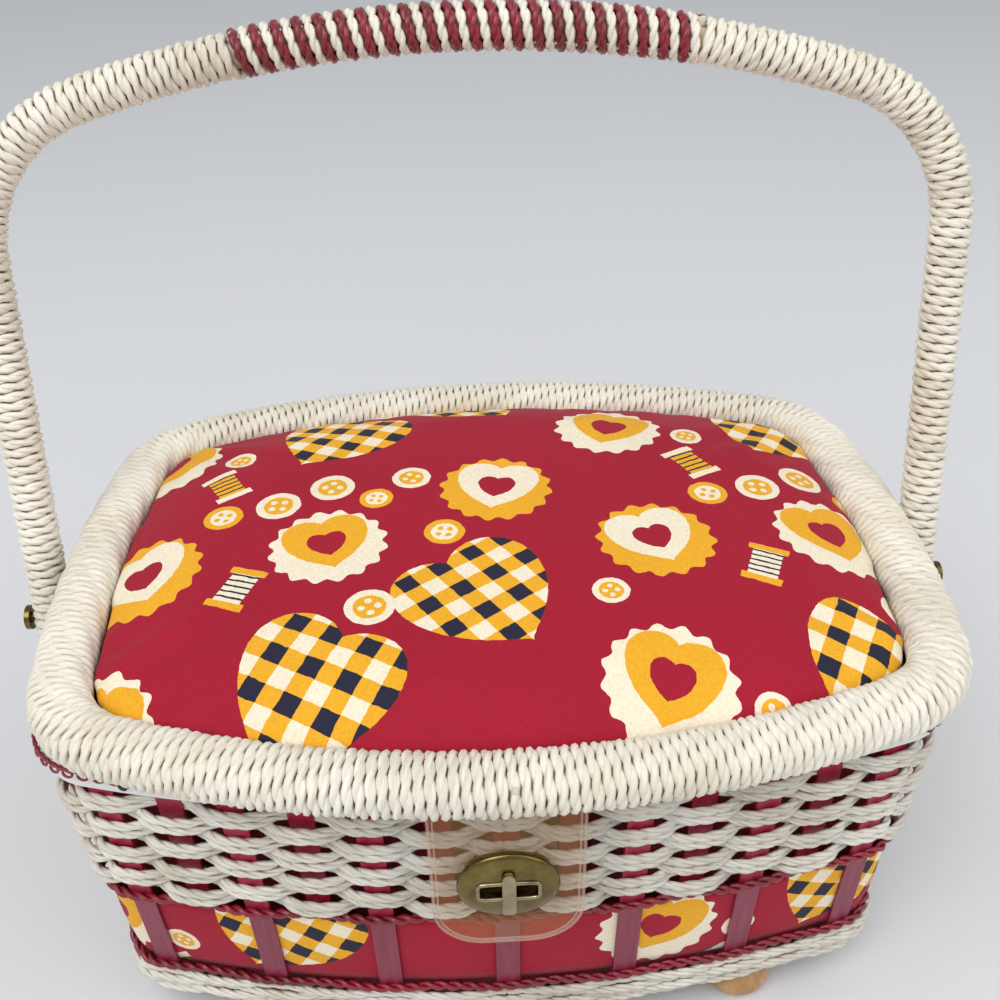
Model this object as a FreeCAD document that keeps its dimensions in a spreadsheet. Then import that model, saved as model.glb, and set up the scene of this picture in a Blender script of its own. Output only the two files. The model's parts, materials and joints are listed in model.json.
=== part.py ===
import FreeCAD, Part
import math
import os

import Sketcher

# Wicker sewing basket with a padded, hinged lid, a turn lock and a swinging bail handle.
# Millimetres. Origin on the floor under the middle of the basket, +Z up, front towards -Y, width along X.

doc = FreeCAD.newDocument("sewing_basket")
sheet = doc.addObject("Spreadsheet::Sheet", "Sizes")

sizes = {
    # Plan of the basket wall, on the outside of the weave at the top of the rim hoop
    "body_half_width": 146.4,
    "body_half_depth": 107.9,
    "body_corner": 24.0,
    "body_front_bow": 464.0,
    "body_side_bow": 732.0,
    "wall_taper": 0.06,
    # Heights, from the floor up
    "foot_height": 12.0,
    "foot_radius": 13.0,
    "foot_waist": 9.5,
    "foot_side_inset": 60.4,
    "foot_front_inset": 29.9,
    "foot_x": "=body_half_width - foot_side_inset",
    "foot_y": "=body_half_depth - foot_front_inset",
    "lower_weave_height": 18.7,
    "red_cord_height": 4.2,
    "band_height": 37.6,
    "upper_weave_height": 54.8,
    "hoop_height": 7.0,
    "trim_height": 0.8,
    "lid_rest_gap": 1.7,
    "seam": 0.1,
    # Layers of the wall, as insets from the outside of the weave
    "weave_thickness": 7.6,
    "weave_edge_round": 5.0,
    "outer_stake_inset": 2.8,
    "stake_thickness": 1.0,
    "band_inset": 3.95,
    "band_thickness": 0.5,
    "inner_stake_inset": 4.6,
    "stake_width": 8.0,
    "stake_clearance": 0.15,
    "cord_inset": 0.8,
    "cord_thickness": 6.0,
    "outer_hoop_inset": 1.1,
    "outer_hoop_thickness": 1.5,
    "inner_hoop_inset": 5.8,
    "inner_hoop_thickness": 4.0,
    "trim_overhang": 2.5,
    "lining_gap": 0.2,
    "lining_thickness": 1.2,
    "fit_gap": 0.3,
    # Base
    "board_thickness": 5.0,
    "base_pad_thickness": 3.0,
    "screw_radius": 2.0,
    "screw_head_radius": 3.6,
    "screw_head_height": 1.6,
    "screw_depth": 8.0,
    "bore_gap": 0.05,
    # Nails in the rim hoop
    "nail_radius": 0.6,
    "nail_head_radius": 1.5,
    "nail_head_height": 0.6,
    "nail_depth": 7.0,
    # Lid, with its plan on the middle line of the rolled rim, set in from the basket wall
    "lid_side_inset": 6.6,
    "lid_front_inset": 1.5,
    "lid_half_width": "=body_half_width - lid_side_inset",
    "lid_half_depth": "=body_half_depth - lid_front_inset",
    "lid_corner": 31.0,
    "lid_front_bow": 327.0,
    "lid_side_bow": 416.0,
    "lid_forward": 6.0,
    "lid_sideways": 2.0,
    "roll_half_width": 9.7,
    "roll_half_height": 8.3,
    "roll_round": 7.4,
    "wrap_thickness": 3.0,
    "frame_round": 4.4,
    "lid_board_thickness": 3.0,
    "lid_lining_thickness": 1.2,
    "cover_thickness": 0.7,
    "pad_edge_rise": 4.0,
    "crown_height": 14.0,
    # Rear hinges
    "hinge_width": 20.0,
    "knuckle_radius": 2.4,
    "hinge_standoff": 1.5,
    "hinge_pin_radius": 1.1,
    "leaf_thickness": 1.2,
    "hinge_screw_radius": 1.1,
    "hinge_screw_spacing": 9.0,
    "hinge_screw_depth": 8.0,
    "lid_leaf_reach": 26.0,
    # Turn lock and its clear tab
    "tab_width": 46.0,
    "tab_drop": 64.0,
    "tab_thickness": 1.2,
    "tab_round": 16.0,
    "tab_standoff": 0.55,
    "tab_flange": 26.0,
    "tab_rivet_radius": 1.5,
    "tab_rivet_head_radius": 2.6,
    "tab_rivet_head_height": 0.8,
    "tab_rivet_spacing": 26.0,
    "tab_rivet_edge": 4.0,
    "lock_height": 106.0,
    "hasp_half_width": 15.5,
    "hasp_half_height": 14.0,
    "hasp_rim": 3.0,
    "hasp_flange": 0.9,
    "hasp_dome": 2.0,
    "hasp_back_thickness": 0.8,
    "slot_length": 18.4,
    "slot_width": 7.0,
    "toggle_length": 17.0,
    "toggle_width": 4.2,
    "toggle_thickness": 2.6,
    "toggle_gap": 0.6,
    "toggle_post_radius": 2.0,
    "lock_plate_width": 32.0,
    "lock_plate_height": 14.0,
    "plate_thickness": 1.2,
    "backing_height": 12.0,
    "lock_boss_radius": 3.2,
    "plate_rivet_spacing": 20.0,
    "plate_rivet_radius": 1.2,
    "plate_rivet_head_radius": 2.2,
    "plate_rivet_head_height": 0.8,
    # Handle
    "pivot_below_rim": 25.0,
    "handle_side_gap": 13.1,
    "handle_half_span": "=body_half_width + handle_side_gap",
    "handle_rise": 194.5,
    "handle_corner": 50.0,
    "handle_top_bow": 430.0,
    "handle_lean": 14.0,
    "handle_core_radius": 4.2,
    "handle_wrap_radius": 7.2,
    "grip_half_length": 72.0,
    "grip_wrap_radius": 4.8,
    "winding_radius": 1.5,
    "winding_gap": 0.1,
    "ferrule_radius": 7.7,
    "ferrule_below": 9.0,
    "ferrule_above": 13.0,
    "ferrule_floor": 4.0,
    "pivot_radius": 2.0,
    "pivot_head_radius": 4.5,
    "pivot_head_height": 1.8,
    "washer_radius": 6.0,
    "washer_thickness": 0.8,
    "bracket_width": 30.0,
    "bracket_height": 20.0,
    "bracket_boss_radius": 5.0,
    "side_play": 0.15,
}
stake_count = 44
winding_turns = 22

for row, (name, number) in enumerate(sizes.items(), start=1):
    sheet.set("A%d" % row, str(number))
    sheet.setAlias("A%d" % row, name)
doc.recompute()


class Size:
    # A number together with the sheet expression that gives it.
    def __init__(self, value, text):
        self.value = value
        self.text = text

    def joined(self, other, sign, value):
        text = other.text if isinstance(other, Size) else repr(float(other))
        return Size(value, "(%s %s %s)" % (self.text, sign, text))

    def __add__(self, other):
        return self.joined(other, "+", self.value + number_of(other))

    def __sub__(self, other):
        return self.joined(other, "-", self.value - number_of(other))

    def __mul__(self, other):
        return self.joined(other, "*", self.value * number_of(other))

    def __truediv__(self, other):
        return self.joined(other, "/", self.value / number_of(other))

    def __neg__(self):
        return Size(-self.value, "(0 - %s)" % self.text)


def number_of(size):
    return size.value if isinstance(size, Size) else float(size)


def vector(x=0.0, y=0.0, z=0.0):
    return FreeCAD.Vector(number_of(x), number_of(y), number_of(z))


def cell(name):
    return Size(float(sheet.get(name)), "Sizes." + name)


def lesser(size, limit):
    return size if size.value < limit.value else limit


def bind(item, prop, size):
    if isinstance(size, Size):
        item.setExpression(prop, size.text)
    else:
        setattr(item, prop, size)


# Heights worked out from the stack of the wall
board_bottom = cell("foot_height")
weave_bottom = board_bottom + cell("seam")
lower_weave_top = weave_bottom + cell("lower_weave_height")
lower_cord_bottom = lower_weave_top + cell("seam")
lower_cord_top = lower_cord_bottom + cell("red_cord_height")
band_bottom = lower_cord_top + cell("seam")
band_top = band_bottom + cell("band_height")
upper_cord_bottom = band_top + cell("seam")
upper_cord_top = upper_cord_bottom + cell("red_cord_height")
upper_weave_bottom = upper_cord_top + cell("seam")
upper_weave_top = upper_weave_bottom + cell("upper_weave_height")
hoop_bottom = upper_weave_top + cell("seam")
hoop_top = hoop_bottom + cell("hoop_height")
trim_bottom = hoop_top + cell("seam")
trim_top = trim_bottom + cell("trim_height")
roll_bottom = trim_top + cell("lid_rest_gap")
rim_height = roll_bottom + cell("roll_half_height")
pivot_height = rim_height - cell("pivot_below_rim")

# The lid and its hinge knuckles reach equally far to the front and to the back
lid_y = -(cell("hinge_standoff") + cell("knuckle_radius")) / 2.0
lid_x = cell("lid_sideways")
body_y = lid_y + cell("lid_forward")
lid_reach = cell("lid_half_depth") + cell("roll_half_width")
hinge_y = lid_y + lid_reach + cell("hinge_standoff")
leaf_bottom = trim_top + cell("fit_gap")
leaf_top = leaf_bottom + cell("leaf_thickness")
hinge_z = leaf_top - cell("knuckle_radius")

flush = Size(0.0, "0")
body_plan = {
    "half_width": cell("body_half_width"),
    "half_depth": cell("body_half_depth"),
    "corner": cell("body_corner"),
    "front_bow": cell("body_front_bow"),
    "side_bow": cell("body_side_bow"),
    "x": flush,
    "y": body_y,
}
lid_plan = {
    "half_width": cell("lid_half_width"),
    "half_depth": cell("lid_half_depth"),
    "corner": cell("lid_corner"),
    "front_bow": cell("lid_front_bow"),
    "side_bow": cell("lid_side_bow"),
    "x": lid_x,
    "y": lid_y,
}


def wall_inset(inset, z):
    # Inset of a wall layer at height z: the wall leans in towards its foot.
    return (hoop_top - z) * cell("wall_taper") + inset


def oval_sizes(plan, inset, scale):
    # The five sizes of an eight-arc oval that lies inside a plan by an even inset.
    names = ("half_width", "half_depth", "corner", "front_bow", "side_bow")
    return [(plan[name] - inset) * scale for name in names]


def corner_centre(a, b, rc, front, side):
    # Centre of the corner arc that is tangent to the front arc and to the side arc.
    front_centre = FreeCAD.Vector(0, b - front, 0)
    side_centre = FreeCAD.Vector(a - side, 0, 0)
    from_front = front - rc
    from_side = side - rc
    between = side_centre - front_centre
    length = between.Length
    along = (length ** 2 + from_front ** 2 - from_side ** 2) / (2 * length)
    across = math.sqrt(from_front ** 2 - along ** 2)
    unit = between / length
    normal = FreeCAD.Vector(-unit.y, unit.x, 0)
    first = front_centre + unit * along + normal * across
    second = front_centre + unit * along - normal * across
    return first if first.x + first.y > second.x + second.y else second


def oval_arcs(a, b, rc, front, side):
    # Centre, radius, start and end angle of the eight arcs, anticlockwise from the right side.
    corner = corner_centre(a, b, rc, front, side)
    side_end = math.atan2(corner.y, corner.x - (a - side))
    front_end = math.atan2(corner.y - (b - front), corner.x)
    turn = math.pi
    return [
        ((a - side, 0), side, -side_end, side_end),
        ((corner.x, corner.y), rc, side_end, front_end),
        ((0, b - front), front, front_end, turn - front_end),
        ((-corner.x, corner.y), rc, turn - front_end, turn - side_end),
        ((side - a, 0), side, turn - side_end, turn + side_end),
        ((-corner.x, -corner.y), rc, turn + side_end, turn + front_end),
        ((0, front - b), front, turn + front_end, 2 * turn - front_end),
        ((corner.x, -corner.y), rc, 2 * turn - front_end, 2 * turn - side_end),
    ]


def origin_plane(body, role):
    return [item for item in body.Origin.OriginFeatures if item.Role == role][0]


def new_sketch(body, name, role="XY_Plane", x=0.0, y=0.0, z=0.0):
    sketch = body.newObject("Sketcher::SketchObject", name)
    sketch.AttachmentSupport = [(origin_plane(body, role), "")]
    sketch.MapMode = "FlatFace"
    for axis, size in (("x", x), ("y", y), ("z", z)):
        if isinstance(size, Size):
            sketch.setExpression("AttachmentOffset.Base." + axis, size.text)
    return sketch


def rule(kind, *values):
    return Sketcher.Constraint(kind, *values)


def add_rules(sketch, rules, dimensions):
    # Geometric rules, then named dimensions that follow the sheet.
    first = sketch.ConstraintCount + len(rules)
    sketch.addConstraint(rules + [rule(*values, size.value) for _, values, size in dimensions])
    for index, (name, _, size) in enumerate(dimensions, start=first):
        sketch.renameConstraint(index, name)
        sketch.setExpression("Constraints." + name, size.text)


def arc(x, y, radius, start, end):
    circle = Part.Circle(vector(x, y), FreeCAD.Vector(0, 0, 1), number_of(radius))
    return Part.ArcOfCircle(circle, start, end)


def line(start, end):
    return Part.LineSegment(vector(*start), vector(*end))


def draw_oval(sketch, plan, inset=0.0, scale=1.0, tag=""):
    # Eight tangent arcs: two sides, front and back, and four equal corners.
    a, b, rc, front, side = oval_sizes(plan, inset, scale)
    arcs = oval_arcs(a.value, b.value, rc.value, front.value, side.value)
    first = sketch.GeometryCount
    sketch.addGeometry([arc(x, y, radius, start, end) for (x, y), radius, start, end in arcs], False)
    right, corner, back, left, ahead = first, first + 1, first + 2, first + 4, first + 6
    rules = [rule("Tangent", first + index, 2, first + (index + 1) % 8, 1) for index in range(8)]
    rules += [rule("Equal", corner, corner + index) for index in (2, 4, 6)]
    rules += [rule("Equal", right, left), rule("Equal", back, ahead)]
    rules += [rule("PointOnObject", index, 3, -1) for index in (right, left)]
    rules += [rule("PointOnObject", index, 3, -2) for index in (back, ahead)]
    add_rules(sketch, rules, [
        ("corner" + tag, ("Radius", corner), rc),
        ("front_bow" + tag, ("Radius", back), front),
        ("side_bow" + tag, ("Radius", right), side),
        ("left_centre" + tag, ("DistanceX", -1, 1, left, 3), side - a),
        ("right_centre" + tag, ("DistanceX", right, 3, -1, 1), side - a),
        ("front_centre" + tag, ("DistanceY", -1, 1, ahead, 3), front - b),
        ("back_centre" + tag, ("DistanceY", back, 3, -1, 1), front - b),
    ])


def oval_sketch(body, name, plan, z, inset=0.0, scale=1.0):
    sketch = new_sketch(body, name, x=plan["x"], y=plan["y"], z=z)
    draw_oval(sketch, plan, inset, scale)
    return sketch


def new_body(name):
    return doc.addObject("PartDesign::Body", name)


def add_loft(body, name, sections, cut=False, ruled=True):
    kind = "PartDesign::SubtractiveLoft" if cut else "PartDesign::AdditiveLoft"
    loft = body.newObject(kind, name)
    loft.Profile = sections[0]
    loft.Sections = sections[1:]
    loft.Ruled = ruled
    return loft


def wall_solid(name, levels):
    # A solid that fills the leaning wall through a stack of heights, each with its inset.
    body = new_body(name)
    sections = []
    for index, (z, inset) in enumerate(levels):
        sections.append(oval_sketch(body, "%s_level_%d" % (name, index), body_plan, z, wall_inset(inset, z)))
    add_loft(body, name + "_loft", sections)
    return body


def wall_ring(name, bottom, top, outer, inner, foot_levels=()):
    # A ring of the leaning wall between two insets. Foot levels round its lower edge.
    body = wall_solid(name, list(foot_levels) or [(bottom, outer), (top, outer)])
    lower = oval_sketch(body, name + "_inner_foot", body_plan, bottom, wall_inset(inner, bottom))
    upper = oval_sketch(body, name + "_inner_head", body_plan, top, wall_inset(inner, top))
    add_loft(body, name + "_hollow", [lower, upper], cut=True)
    return body


def flat_ring(name, plan, bottom, height, outer, inner, edge_round=None):
    # A level ring between two insets, with its long edges rounded if asked.
    body = new_body(name)
    sketch = new_sketch(body, name + "_plan", x=plan["x"], y=plan["y"], z=bottom)
    draw_oval(sketch, plan, outer, tag="_outer")
    draw_oval(sketch, plan, inner, tag="_inner")
    pad = body.newObject("PartDesign::Pad", name + "_pad")
    pad.Profile = sketch
    bind(pad, "Length", height)
    if edge_round is not None:
        doc.recompute()
        level = [
            "Edge%d" % (index + 1)
            for index, edge in enumerate(pad.Shape.Edges)
            if edge.BoundBox.ZLength < 0.01
        ]
        fillet = body.newObject("PartDesign::Fillet", name + "_round")
        fillet.Base = (pad, level)
        bind(fillet, "Radius", edge_round)
    return body


def flat_plate(name, plan, bottom, height, inset):
    body = new_body(name)
    sketch = oval_sketch(body, name + "_plan", plan, bottom, inset)
    pad = body.newObject("PartDesign::Pad", name + "_pad")
    pad.Profile = sketch
    bind(pad, "Length", height)
    return body


def box(name, length, width, height, placement):
    item = doc.addObject("Part::Box", name)
    bind(item, "Length", length)
    bind(item, "Width", width)
    bind(item, "Height", height)
    item.Placement = placement
    return item


def cylinder(name, radius, height, placement):
    item = doc.addObject("Part::Cylinder", name)
    bind(item, "Radius", radius)
    bind(item, "Height", height)
    item.Placement = placement
    return item


def group(name, items):
    item = doc.addObject("Part::Compound", name)
    item.Links = items
    return item


def fuse(name, items):
    item = doc.addObject("Part::MultiFuse", name)
    item.Shapes = items
    return item


def cut(name, base, tools):
    item = doc.addObject("Part::Cut", name)
    item.Base = base
    item.Tool = tools[0] if len(tools) == 1 else group(name + "_tools", tools)
    return item


def common(name, base, tool):
    item = doc.addObject("Part::Common", name)
    item.Base = base
    item.Tool = tool
    return item


def place(x=0.0, y=0.0, z=0.0, axis=(0, 0, 1), degrees=0.0):
    turn = FreeCAD.Rotation(FreeCAD.Vector(*axis), number_of(degrees))
    return FreeCAD.Placement(vector(x, y, z), turn)


along_x = ((0, 1, 0), 90)
along_front = ((1, 0, 0), 90)

pieces = {}


def keep(label, item):
    pieces[label] = item
    item.Label = label


# Points on the outside of the wall at the rim, stepped by even lengths of arc from the front middle

outline = [number_of(size) for size in oval_sizes(body_plan, 0.0, 1.0)]
outline_arcs = oval_arcs(*outline)
outline_length = sum(radius * (end - start) for _, radius, start, end in outline_arcs)
stake_pitch = outline_length / stake_count


def wall_point(step):
    # Point and outward normal, a number of stake pitches anticlockwise from the front middle.
    front_arc = outline_arcs[6]
    left = step * stake_pitch + front_arc[1] * (front_arc[3] - front_arc[2]) / 2
    for (x, y), radius, start, end in outline_arcs[6:] + outline_arcs + outline_arcs:
        length = radius * (end - start)
        if left <= length:
            angle = start + left / radius
            normal = FreeCAD.Vector(math.cos(angle), math.sin(angle), 0)
            point = FreeCAD.Vector(x, y + body_y.value, 0) + normal * radius
            return point, normal
        left -= length


def outward(step, z, inset=0.0):
    # Placement on the wall with local X outward, at a height and an inset.
    point, normal = wall_point(step)
    depth = number_of(wall_inset(inset, z))
    turn = FreeCAD.Rotation(FreeCAD.Vector(0, 0, 1), math.degrees(math.atan2(normal.y, normal.x)))
    base = point - normal * depth
    return FreeCAD.Placement(FreeCAD.Vector(base.x, base.y, number_of(z)), turn)


# Wall stakes: flat splints, every second one outside the printed band

stake_bottom = weave_bottom + cell("weave_edge_round") / 2.0
stake_height = hoop_top - stake_bottom
wedge_inside = cell("weave_thickness") * 1.5
wedge_depth = wedge_inside + stake_height * cell("wall_taper") + cell("weave_thickness")


def stake_wedges(name, first, grown):
    # Upright blocks that each keep one stake's width of the wall.
    blocks = []
    width = cell("stake_width") + grown * 2.0
    height = stake_height + grown * 2.0
    for step in range(first, stake_count, 2):
        spot = outward(step, stake_bottom - grown)
        shift = place(x=-wedge_inside, y=-width / 2.0)
        blocks.append(box("%s_%d" % (name, step), wedge_depth, width, height, spot.multiply(shift)))
    return group(name, blocks)


def stakes(name, first, inset):
    inner = inset + cell("stake_thickness")
    ring = wall_ring(name + "_ring", stake_bottom, hoop_top, inset, inner)
    return common(name, ring, stake_wedges(name + "_wedges", first, flush))


def stake_slots(name, first, inset):
    gap = cell("stake_clearance")
    inner = inset + cell("stake_thickness") + gap
    ring = wall_ring(name + "_ring", stake_bottom - gap, hoop_top, inset - gap, inner)
    return common(name, ring, stake_wedges(name + "_wedges", first, gap))


keep("stakes_outer", stakes("stakes_outer", 0, cell("outer_stake_inset")))
keep("stakes_inner", stakes("stakes_inner", 1, cell("inner_stake_inset")))
slots = [
    stake_slots("outer_slots", 0, cell("outer_stake_inset")),
    stake_slots("inner_slots", 1, cell("inner_stake_inset")),
]

# Places where rivets pass through the wall: either side of a stake at the front and at both sides

front_step = 0.0
right_step = stake_count / 4
rear_step = stake_count / 2
left_step = 3 * stake_count / 4
taper_angle = math.degrees(math.atan(number_of(cell("wall_taper"))))
plate_inner = cell("weave_thickness") + cell("seam")
rivet_inner = plate_inner + cell("plate_thickness")


def wall_frame(step, z):
    # Placement on the outside of the weave, local X along its leaning outward normal.
    flat = outward(step, z)
    return flat.multiply(place(axis=(0, 1, 0), degrees=taper_angle))


def wall_rivets(name, step, z, radius, heads):
    # Two rivets through a plate on the wall, with the plate's backing inside the weave.
    items = []
    start = -(rivet_inner + cell("plate_rivet_head_height"))
    length = rivet_inner + cell("seam") + cell("plate_thickness") + cell("plate_rivet_head_height") * 2.0
    for side in (-1, 1):
        y = cell("plate_rivet_spacing") * (side / 2)
        spot = wall_frame(step, z).multiply(place(start, y, 0, *along_x))
        shank = cylinder("%s_shank_%d" % (name, side), radius, length, spot)
        if not heads:
            items.append(shank)
            continue
        head_radius = cell("plate_rivet_head_radius")
        head_height = cell("plate_rivet_head_height")
        inner_head = cylinder("%s_tail_%d" % (name, side), head_radius, head_height, spot)
        outer_x = start + length - head_height
        outer_spot = wall_frame(step, z).multiply(place(outer_x, y, 0, *along_x))
        outer_head = cylinder("%s_head_%d" % (name, side), head_radius, head_height, outer_spot)
        items.append(fuse("%s_%d" % (name, side), [shank, inner_head, outer_head]))
    return items


plates = {
    "lock": (front_step, cell("lock_height")),
    "right": (right_step, pivot_height),
    "left": (left_step, pivot_height),
}
rivet_hole = cell("plate_rivet_radius") + cell("bore_gap")
wall_holes = []
for plate_name, (step, z) in plates.items():
    wall_holes += wall_rivets(plate_name + "_hole", step, z, rivet_hole, heads=False)

# Weave, red cords, printed band and hoops of the wall

weave_inner = cell("weave_thickness")
edge_round = cell("weave_edge_round")
round_steps = 3
foot_levels = []
for turn in range(round_steps + 1):
    angle = math.pi / 2 * turn / round_steps
    rise = edge_round * (1 - math.cos(angle))
    tuck = edge_round * (1 - math.sin(angle))
    foot_levels.append((weave_bottom + rise, tuck))
foot_levels.append((lower_weave_top, flush))

lower_ring = wall_ring("lower_weave_ring", weave_bottom, lower_weave_top, flush, weave_inner, foot_levels)
keep("lower_weave", cut("lower_weave", lower_ring, slots))
upper_ring = wall_ring("upper_weave_ring", upper_weave_bottom, upper_weave_top, flush, weave_inner)
keep("upper_weave", cut("upper_weave", upper_ring, slots + wall_holes))

cord_outer = cell("cord_inset")
cord_inner = cord_outer + cell("cord_thickness")
for label, bottom, top in (
    ("lower_red_cord", lower_cord_bottom, lower_cord_top),
    ("upper_red_cord", upper_cord_bottom, upper_cord_top),
):
    keep(label, cut(label, wall_ring(label + "_ring", bottom, top, cord_outer, cord_inner), slots))

band_outer = cell("band_inset")
band_inner = band_outer + cell("band_thickness")
keep("fabric_band", wall_ring("fabric_band", band_bottom, band_top, band_outer, band_inner))

# Rim hoops, nailed together through the gaps between the stakes

hinge_steps = (rear_step - 1.5, rear_step + 1.5)
nail_steps = [step + 0.5 for step in range(0, stake_count, 2) if step + 0.5 not in hinge_steps]
nail_height = (hoop_bottom + hoop_top) / 2.0
outer_hoop = cell("outer_hoop_inset")


def nail_set(name, grown, heads):
    items = []
    for step in nail_steps:
        start = -(outer_hoop + cell("nail_depth"))
        spot = outward(step, nail_height).multiply(place(start, 0, 0, *along_x))
        length = cell("nail_depth") + cell("seam")
        shank = cylinder("%s_%d" % (name, step), cell("nail_radius") + grown, length, spot)
        if not heads:
            items.append(shank)
            continue
        head_start = cell("seam") - outer_hoop
        spot = outward(step, nail_height).multiply(place(head_start, 0, 0, *along_x))
        head_name = "%s_head_%d" % (name, step)
        head = cylinder(head_name, cell("nail_head_radius"), cell("nail_head_height"), spot)
        items.append(fuse("%s_whole_%d" % (name, step), [shank, head]))
    return items


nail_holes = nail_set("nail_hole", cell("bore_gap"), heads=False)
keep("rim_nails", group("rim_nails", nail_set("nail", flush, heads=True)))

# Rear hinges: the body leaf is screwed to the hoops, the lid leaf lies under the rolled rim

rear_point = wall_point(rear_step - 1.5)[0]
hinge_x = abs(rear_point.x)
inner_corner_x = hinge_x - cell("hinge_width").value / 2
rear_bow = cell("body_front_bow")
rear_wall = body_y + cell("body_half_depth") - outer_hoop
bow_drop = rear_bow.value - math.sqrt(rear_bow.value ** 2 - inner_corner_x ** 2)
leaf_y = rear_wall - bow_drop + cell("seam")
screw_spacing = cell("hinge_screw_spacing")
screw_radius = cell("hinge_screw_radius")
end_knuckle = cell("hinge_width") / 4.0
lid_knuckle = cell("hinge_width") / 2.0
knuckle_gap = cell("side_play")
knuckle = cell("knuckle_radius")
pin_hole = cell("hinge_pin_radius") + cell("bore_gap")
leaf = cell("leaf_thickness")
hinge_width = cell("hinge_width")
body_screw_holes = []
lid_screw_holes = []
body_screws = []
lid_screws = []
trim_notches = []

for label, side in (("left", -1), ("right", 1)):
    left_edge = side * hinge_x - hinge_width.value / 2
    barrel = place(left_edge, hinge_y, hinge_z, *along_x)
    plate_spot = place(left_edge, leaf_y, hoop_bottom)
    plate = box("leaf_plate_" + label, hinge_width, leaf, hinge_z - hoop_bottom, plate_spot)
    tongue_depth = hinge_y - leaf_y
    tongue_z = hinge_z - knuckle
    tongue = box("leaf_tongue_" + label, hinge_width, tongue_depth, leaf, place(left_edge, leaf_y, tongue_z))
    barrel_body = cylinder("leaf_barrel_" + label, knuckle, hinge_width, barrel)
    middle_x = left_edge + end_knuckle.value - knuckle_gap.value
    middle_gap = lid_knuckle + knuckle_gap * 2.0
    middle_spot = place(middle_x, hinge_y - knuckle * 2.0, hinge_z - knuckle * 2.0)
    middle = box("leaf_gap_" + label, middle_gap, knuckle * 4.0, knuckle * 4.0, middle_spot)
    bore = cylinder("leaf_bore_" + label, pin_hole, hinge_width, barrel)
    notch_gap = cell("fit_gap")
    notch_y = hinge_y - knuckle - notch_gap
    notch_spot = place(left_edge - notch_gap.value, notch_y, trim_bottom - notch_gap)
    notch_width = hinge_width + notch_gap * 2.0
    notch_height = cell("trim_height") + notch_gap * 2.0
    trim_notches.append(box("trim_notch_" + label, notch_width, knuckle * 4.0, notch_height, notch_spot))
    screws = []
    for hand in (-1, 1):
        x = side * hinge_x + hand * screw_spacing.value / 2
        name = "%s_%d" % (label, hand)
        depth = cell("hinge_screw_depth")
        spot = place(x, leaf_y + leaf, nail_height, *along_front)
        screws.append(cylinder("body_screw_hole_" + name, screw_radius + cell("bore_gap"), depth, spot))
        body_screws.append(cylinder("body_screw_" + name, screw_radius, depth, spot))
    body_screw_holes += screws
    whole = fuse("body_leaf_whole_" + label, [plate, tongue, barrel_body])
    keep("hinge_body_leaf_" + label, cut("hinge_body_leaf_" + label, whole, [middle, bore] + screws))

    lid_barrel_spot = place(left_edge + end_knuckle.value, hinge_y, hinge_z, *along_x)
    lid_barrel = cylinder("lid_barrel_" + label, knuckle, lid_knuckle, lid_barrel_spot)
    reach = cell("lid_leaf_reach")
    lid_plate_spot = place(left_edge, hinge_y - reach, leaf_bottom)
    back_gap = knuckle + cell("side_play")
    lid_plate = box("lid_plate_" + label, hinge_width, reach - back_gap, leaf, lid_plate_spot)
    link_spot = place(left_edge + end_knuckle.value, hinge_y - back_gap, leaf_bottom)
    link = box("lid_link_" + label, lid_knuckle, back_gap, leaf, link_spot)
    lid_screw_tools = []
    lid_bow = cell("lid_front_bow")
    roll_drop = lid_bow.value - math.sqrt(lid_bow.value ** 2 - hinge_x ** 2)
    roll_y = lid_y + cell("lid_half_depth") - roll_drop
    for hand in (-1, 1):
        x = side * hinge_x + hand * screw_spacing.value / 2
        name = "%s_%d" % (label, hand)
        depth = cell("hinge_screw_depth")
        spot = place(x, roll_y, leaf_bottom)
        hole_radius = screw_radius + cell("bore_gap")
        lid_screw_tools.append(cylinder("lid_screw_hole_" + name, hole_radius, depth, spot))
        lid_screws.append(cylinder("lid_screw_" + name, screw_radius, depth, spot))
    lid_screw_holes += lid_screw_tools
    lid_whole = fuse("lid_leaf_whole_" + label, [lid_barrel, lid_plate, link])
    keep("hinge_lid_leaf_" + label, cut("hinge_lid_leaf_" + label, lid_whole, [bore] + lid_screw_tools))
    keep("hinge_pin_" + label, cylinder("hinge_pin_" + label, cell("hinge_pin_radius"), hinge_width, barrel))

keep("hinge_body_screws", group("hinge_body_screws", body_screws))
keep("hinge_lid_screws", group("hinge_lid_screws", lid_screws))

outer_hoop_inner = outer_hoop + cell("outer_hoop_thickness")
inner_hoop = cell("inner_hoop_inset")
inner_hoop_inner = inner_hoop + cell("inner_hoop_thickness")
outer_ring = wall_ring("outer_hoop_ring", hoop_bottom, hoop_top, outer_hoop, outer_hoop_inner)
keep("rim_hoop_outer", cut("rim_hoop_outer", outer_ring, nail_holes + body_screw_holes))
inner_ring = wall_ring("inner_hoop_ring", hoop_bottom, hoop_top, inner_hoop, inner_hoop_inner)
keep("rim_hoop_inner", cut("rim_hoop_inner", inner_ring, nail_holes + body_screw_holes))
trim_outer = -cell("trim_overhang")
trim = flat_ring("trim_ring", body_plan, trim_bottom, cell("trim_height"), trim_outer, inner_hoop_inner)
keep("picot_trim", cut("picot_trim", trim, trim_notches))

# Base board, feet, screws and the cloth lining

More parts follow.
